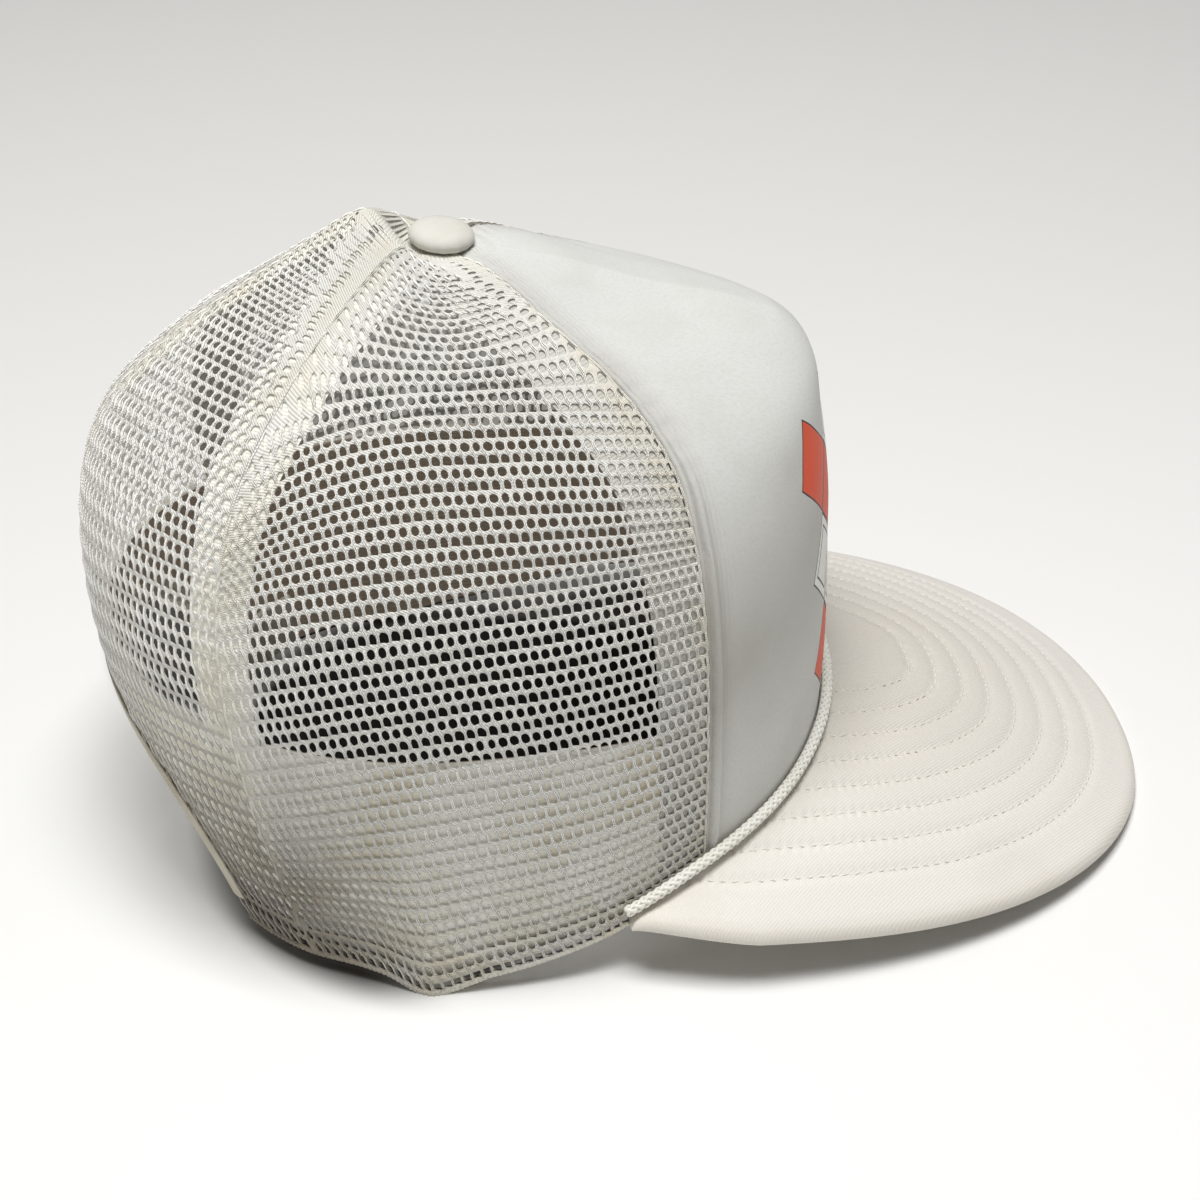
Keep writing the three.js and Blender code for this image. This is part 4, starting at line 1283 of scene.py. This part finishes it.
def buildBrim():
    columns = brim["columns"]
    across = np.linspace(-1, 1, columns)
    period = brim["stitch"] + brim["stitchGap"]
    root = crownInside(brim["rootAngle"] * across, np.zeros(columns), np.full(columns, -0.4))
    edge = brimEdgePoint(brim["cornerAngle"] * across)
    reach = np.linalg.norm(edge - root, axis=1)
    outline = brimEdgePoint(brim["cornerAngle"] * np.linspace(-1, 1, 500))[:, :2]

    def face(shares):
        point = root[None] + (edge - root)[None] * shares[..., None]
        point[..., 2] += brim["rise"] * np.sin(np.pi * shares) * clamp01(reach / brim["fullRiseReach"])[None]
        toEdge, run = distanceTo(outline, point[..., :2].reshape(-1, 2))
        return point, toEdge.reshape(shares.shape), run.reshape(shares.shape)

    def quilted(toEdge, run):
        relief = np.zeros(toEdge.shape)
        for k in range(brim["rows"]):
            at = brim["firstRow"] + brim["rowPitch"] * k
            pinch = 0.62 + 0.38 * np.cos(2 * np.pi * run / period)
            relief = relief - brim["channel"] * dip(toEdge, at, brim["channelWide"]) * pinch
        return relief

    def edgeShares(rows):
        # Rows from the crown out, closer together over the rounded edge
        lastMm = np.array([3.0, 2.4, 1.9, 1.45, 1.0, 0.6, 0.28, 0.08, 0.0])
        inner = np.linspace(0, 1, rows)[:, None] * (1 - 3.6 / reach)[None]
        return np.vstack([inner, 1 - lastMm[:, None] / reach[None]])

    upperShares = edgeShares(brim["upperRows"])
    upper, toEdge, run = face(upperShares)
    lowerShares = edgeShares(brim["lowerRows"])
    lower, toEdgeLow, runLow = face(lowerShares)

    def rounding(distance):  # 0 at the rim, 1 where the brim has its full thickness
        share = clamp01(distance / brim["edgeRound"])
        return np.sqrt(1 - (1 - share) ** 2)

    rim = brim["thick"] * brim["rimShare"]
    toCorner = clamp01((1 - np.abs(across)) / brim["cornerTaper"])[None]
    taper = 0.25 + 0.75 * np.sqrt(1 - (1 - toCorner) ** 2)
    upperMm = reach[None] * (1 - upperShares)
    lowerMm = reach[None] * (1 - lowerShares)
    dents = 0.4 * wavy(upper[..., 0], upper[..., 1], 80, 33) * smooth(2, 20, upperMm)
    dents = dents * smooth(0, 10, reach[None] - upperMm)
    body = rim + (brim["thick"] - rim) * rounding(upperMm)
    upper[..., 2] += body * taper + quilted(toEdge, run) + dents
    under = rim * (1 - rounding(lowerMm)) * taper
    lower[..., 2] += under + np.maximum(0, -quilted(toEdgeLow, runLow) * 0.6)
    # The upper face from root to edge, then the underside back to the root, closed at the root
    wrap = np.concatenate([upper, lower[::-1][1:]])
    distances = np.concatenate([toEdge, toEdgeLow[::-1][1:]])
    span = len(wrap)
    index = np.arange(span * columns).reshape(span, columns)
    nextRow = np.roll(index, -1, axis=0)
    faces = np.stack([index[:, :-1], nextRow[:, :-1], nextRow[:, 1:], index[:, 1:]], -1)
    faces = faces.reshape(-1, 4).tolist()
    faces.append(index[:, 0][::-1].tolist())
    faces.append(index[:, -1].tolist())
    points = wrap.reshape(-1, 3)
    faces = facingOut(points, faces)
    edges = np.stack([distances.ravel(), distances.ravel()], axis=1)
    piece = addMesh("brim_cloth", points, faces, brimFabric, ("brim",),
                    points[:, :2], edges, 60)
    # Stitches lie in the channels of both faces
    tree = BVHTree.FromPolygons([Vector(p) for p in points], faces)
    tangent = unit(np.gradient(outline, axis=0))
    inward = np.stack([-tangent[:, 1], tangent[:, 0]], axis=1)
    if (inward[250] * outline[250]).sum() > 0:
        inward = -inward
    paths, normals = [], []
    for k in range(brim["rows"]):
        at = brim["firstRow"] + brim["rowPitch"] * k
        line = outline + inward * at
        clear = distanceTo(outline, line)[0] > at - 0.25
        line = line[clear]
        runs = np.concatenate([[0], np.cumsum(np.linalg.norm(np.diff(line, axis=0), axis=1))])
        for n in range(int(runs[-1] / period)):
            spots = []
            for share in (0.0, 0.3, 0.7, 1.0):
                there = n * period + share * brim["stitch"]
                spots.append([np.interp(there, runs, line[:, 0]), np.interp(there, runs, line[:, 1])])
            for side in (1, -1):
                path = []
                for m, (x, y) in enumerate(spots):
                    hit = tree.ray_cast(Vector((x, y, brim["stitchedFrom"] * side)), Vector((0, 0, -side)))
                    if hit[0] is None:
                        break
                    inSide = brim["stitchEndIn"] if m in (0, 3) else -brim["stitchOut"]
                    path.append([x, y, hit[0][2] - side * inSide])
                if len(path) == 4:
                    paths.append(path)
                    normals.append([[0, 0, side]] * 4)
    stitchPoints, stitchFaces = tubes(np.array(paths), np.array(normals, float), brim["threadRadius"],
                                      brim["threadRadius"] * 0.8, 5, 0.6)
    addMesh("brim_stitches", stitchPoints, stitchFaces, thread, (), None, None, 80)
    print("brim", len(faces), "faces", len(paths), "stitches")


buildBrim()
print("brim made")

# Rope

rope = {"endAngle": 73, "standsOff": 2.0, "above": 5.8, "endLift": 1.2, "strands": 4, "strandRadius": 0.5,
        "radius": 1.03, "over": 0.12, "core": 1.04, "period": 8.4, "steps": 620, "sides": 6}


def buildRope():
    angle = np.linspace(-rope["endAngle"], rope["endAngle"], rope["steps"])
    path = crownPoint(angle, np.zeros(len(angle)))
    normal = crownNormal(angle, np.zeros(len(angle)))
    normal[:, 2] = 0
    path = path + unit(normal) * rope["standsOff"]
    path[:, 2] += rope["above"] + rope["endLift"] * (angle / rope["endAngle"]) ** 4
    run = np.concatenate([[0], np.cumsum(np.linalg.norm(np.diff(path, axis=0), axis=1))])
    tangent = unit(np.gradient(path, axis=0))
    beside = unit(np.cross(tangent, np.array([0, 0, 1.0])))
    upwards = np.cross(beside, tangent)
    sides = rope["sides"]
    bodies, flats = [], []

    def addStrand(line, outwards, radius):
        bodies.append(tubes(line[None], outwards[None], radius, radius * 0.85, sides, 0.5))
        flats.append(np.stack([np.tile(np.linspace(0, 2, sides), len(run)), np.repeat(run, sides)], axis=1))

    addStrand(path, upwards, rope["core"])
    # Strands wind both ways around the core, over and under each other in turn
    turn = 2 * np.pi * run / rope["period"]
    for way in (1, -1):
        reach = rope["radius"] + way * rope["over"] * np.cos(rope["strands"] * turn)
        for k in range(rope["strands"]):
            around = way * turn + 2 * np.pi * k / rope["strands"]
            outwards = beside * np.cos(around)[:, None] + upwards * np.sin(around)[:, None]
            addStrand(path + outwards * reach[:, None], outwards, rope["strandRadius"])
    points, faces = merge(*bodies)
    addMesh("rope_trim_plait", points, faces, ropeFabric, ("rope_trim",), np.vstack(flats), None, 80)


buildRope()
print("rope made")

# Button

button = {"radius": 7.9, "thick": 4.5, "seat": 163.05, "tilt": 6, "gathers": 15, "gather": 0.16,
          "sides": 72}
# share of the radius, share of the height
domeRows = [[0.0, -0.55], [0.32, -0.5], [0.34, -0.02], [0.78, -0.01], [0.93, 0.08], [1.0, 0.3], [0.985, 0.48],
            [0.93, 0.64], [0.82, 0.79], [0.66, 0.89], [0.46, 0.955], [0.24, 0.99], [0.0, 1.0]]


def buildButton():
    profile = np.array(domeRows)
    sides = button["sides"]
    turn = 2 * np.pi * np.arange(sides) / sides
    reach = profile[1:-1, :1] * button["radius"]
    rise = profile[1:-1, 1:] * button["thick"]
    skirt = smooth(0.5, 1.0, profile[1:-1, :1]) * (1 - smooth(0.5, 0.95, profile[1:-1, 1:]))
    reach = reach - button["gather"] * (0.5 + 0.5 * np.cos(button["gathers"] * turn))[None] * skirt
    ringPoints = np.stack([reach * np.cos(turn), reach * np.sin(turn), rise + 0 * reach], axis=-1)
    points, faces = sweep(ringPoints)
    points, faces = points.tolist(), faces[:-2]
    points += [[0, 0, profile[0, 1] * button["thick"]], [0, 0, profile[-1, 1] * button["thick"]]]
    first, last = len(points) - 2, len(points) - 1
    endRing = (len(ringPoints) - 1) * sides
    for k in range(sides):
        faces.append([first, (k + 1) % sides, k])
        faces.append([endRing + k, endRing + (k + 1) % sides, last])
    points = np.array(points)
    tilt = math.radians(button["tilt"])
    y, z = points[:, 1].copy(), points[:, 2].copy()
    points[:, 1] = y * math.cos(tilt) - z * math.sin(tilt) + crown["centreY"]
    points[:, 2] = y * math.sin(tilt) + z * math.cos(tilt) + button["seat"]
    edges = np.full((len(points), 2), 20.0)  # far from any seam
    addMesh("top_button_cover", points, facingOut(points, faces), buttonCloth, ("top_button",),
            points[:, :2], edges)


def buttonPaint():
    paint = Paint("buttonCloth", Roughness=0.75, Sheen_Weight=0.2)
    place = paint.inSpace()
    cloudy = paint.noise(place, 0.2, 4.0)
    colour = paint.mix(cloudy.step(0.4, 0.8) * 0.5, tint(215, 213, 204), tint(198, 191, 177))
    fuzz = paint.noise(place, 1.8, 3.0)
    bump = paint.bump(fuzz, 0.08, 0.8)
    return paint.finish(Base_Color=colour, Roughness=0.66 + fuzz * 0.2, Normal=bump)


buttonCloth = buttonPaint()
buildButton()
print("button made")

# Floor, lights and camera

stage = {
    "size": 8.0,
    "near": tint(252, 252, 250),
    "far": tint(240, 239, 236),
    # Tones of painted shadows on the floor
    "under": tint(24, 23, 22),
    "shadow": tint(104, 102, 98),
    "underNear": 0.0785,
    "underFar": 0.088,
    "underRear": 0.066,
    "underFront": 0.1,
    "underPower": 2.2,
    "underLeanFrom": 0.05,
    "underLean": 0.5,
    "castFar": (0.165, 0.045, 0.15, 0.085),
    "castTone": tint(138, 136, 131),
    "castRear": (0.08, 0.118, 0.05, 0.03),
    "deep": tint(62, 60, 57),
    "contactShadow": tint(84, 81, 77),
    "contactTo": 1.15,
    "azimuth": -98,
    "elevation": 35,
    "distance": 0.6175,
    "target": (0, 0.009, 0.0572),
    "lens": 71.02,
}


def buildStage():
    paint = Paint("floorPaper", Roughness=0.85)
    place = paint.node("ShaderNodeTexCoord", None, None, 3)
    x, y = paint.split(place)
    # Paler near the camera and darker away from it: painted shade
    colour = paint.mix(x.step(-0.35, 0.35), stage["near"], stage["far"])
    # Painted shadows, which no light casts: the floor under the crown, and what shows through the net
    fromMiddle = y - crown["centreY"] / 1000
    lean = (stage["underLeanFrom"] - y).most(0.0) * stage["underLean"]
    moved = x - lean
    across = moved.most(0.0) / stage["underFar"] + (0 - moved).most(0.0) / stage["underNear"]
    ahead = fromMiddle.most(0.0) / stage["underRear"] + (0 - fromMiddle).most(0.0) / stage["underFront"]
    power = stage["underPower"]
    leaned = 1 - ((across ** power + ahead ** power) ** (1 / power)).step(0.9, 1.02)
    covered = 1 - (((abs(x) / stage["underNear"]) ** power + ahead ** power) ** (1 / power)).step(0.95, 1.0)

    def patch(centreX, centreY, reachX, reachY):
        castX = (x - centreX) / reachX
        castY = (y - centreY) / reachY
        return 1 - ((castX * castX + castY * castY) ** 0.5).step(0.6, 1.0)

    # Painted cast shadows: a grey patch on the far side and a dark one behind the arch
    colour = paint.mix(patch(*stage["castFar"]), colour, stage["castTone"])
    # Painted shadow under the crown, shifted to the far side
    colour = paint.mix(leaned, colour, stage["shadow"])
    colour = paint.mix(patch(*stage["castRear"]), colour, stage["deep"])
    # Painted contact shadow beside the rear hem
    near = (((0 - x).most(0.0) / stage["underNear"]) ** power + ahead ** power) ** (1 / power)
    contactShadowShare = (1 - near.step(0.98, stage["contactTo"])) * y.step(0.052, 0.08) * (0.03 - x).step(0.0, 0.04)
    colour = paint.mix(contactShadowShare, colour, stage["contactShadow"])
    # Near black under the crown: painted shadow
    colour = paint.mix(leaned * covered, colour, stage["under"])
    grain = paint.noise(place, 300.0, 2.0)
    floor = paint.finish(Base_Color=colour, Normal=paint.bump(grain, 0.02, 0.3))
    mesh = bpy.data.meshes.new("floor")
    s = stage["size"] / 2
    mesh.from_pydata([(-s, -s, 0), (s, -s, 0), (s, s, 0), (-s, s, 0)], [], [(0, 1, 2, 3)])
    mesh.materials.append(floor)
    piece = bpy.data.objects.new("floor", mesh)
    bpy.context.scene.collection.objects.link(piece)


def addLight(name, place, target, size, power, colour=(1, 1, 1)):
    light = bpy.data.lights.new(name, "AREA")
    light.shape = "RECTANGLE"
    light.size, light.size_y = size
    light.energy = power
    light.color = colour
    lamp = bpy.data.objects.new(name, light)
    lamp.location = place
    lamp.rotation_euler = (Vector(target) - Vector(place)).to_track_quat("-Z", "Y").to_euler()
    bpy.context.scene.collection.objects.link(lamp)


buildStage()
addLight("overhead", (-0.16, 0.1, 1.35), (0, 0, 0.05), (0.6, 0.6), 17.5)

world = bpy.data.worlds.new("softRoom")
world.use_nodes = True
world.node_tree.nodes["Background"].inputs[0].default_value = (1, 1, 0.99, 1)
world.node_tree.nodes["Background"].inputs[1].default_value = 0.16
bpy.context.scene.world = world
bpy.context.scene.view_settings.view_transform = "Standard"

azimuth, elevation = math.radians(stage["azimuth"]), math.radians(stage["elevation"])
back = Vector((math.sin(azimuth) * math.cos(elevation), -math.cos(azimuth) * math.cos(elevation),
               math.sin(elevation)))
cameraData = bpy.data.cameras.new("camera")
cameraData.lens = stage["lens"]
cameraData.sensor_width = 36
camera = bpy.data.objects.new("camera", cameraData)
camera.location = Vector(stage["target"]) + back * stage["distance"]
camera.rotation_euler = back.to_track_quat("Z", "Y").to_euler()
bpy.context.scene.collection.objects.link(camera)
bpy.context.scene.camera = camera
print("stage made")

bpy.context.view_layer.update()
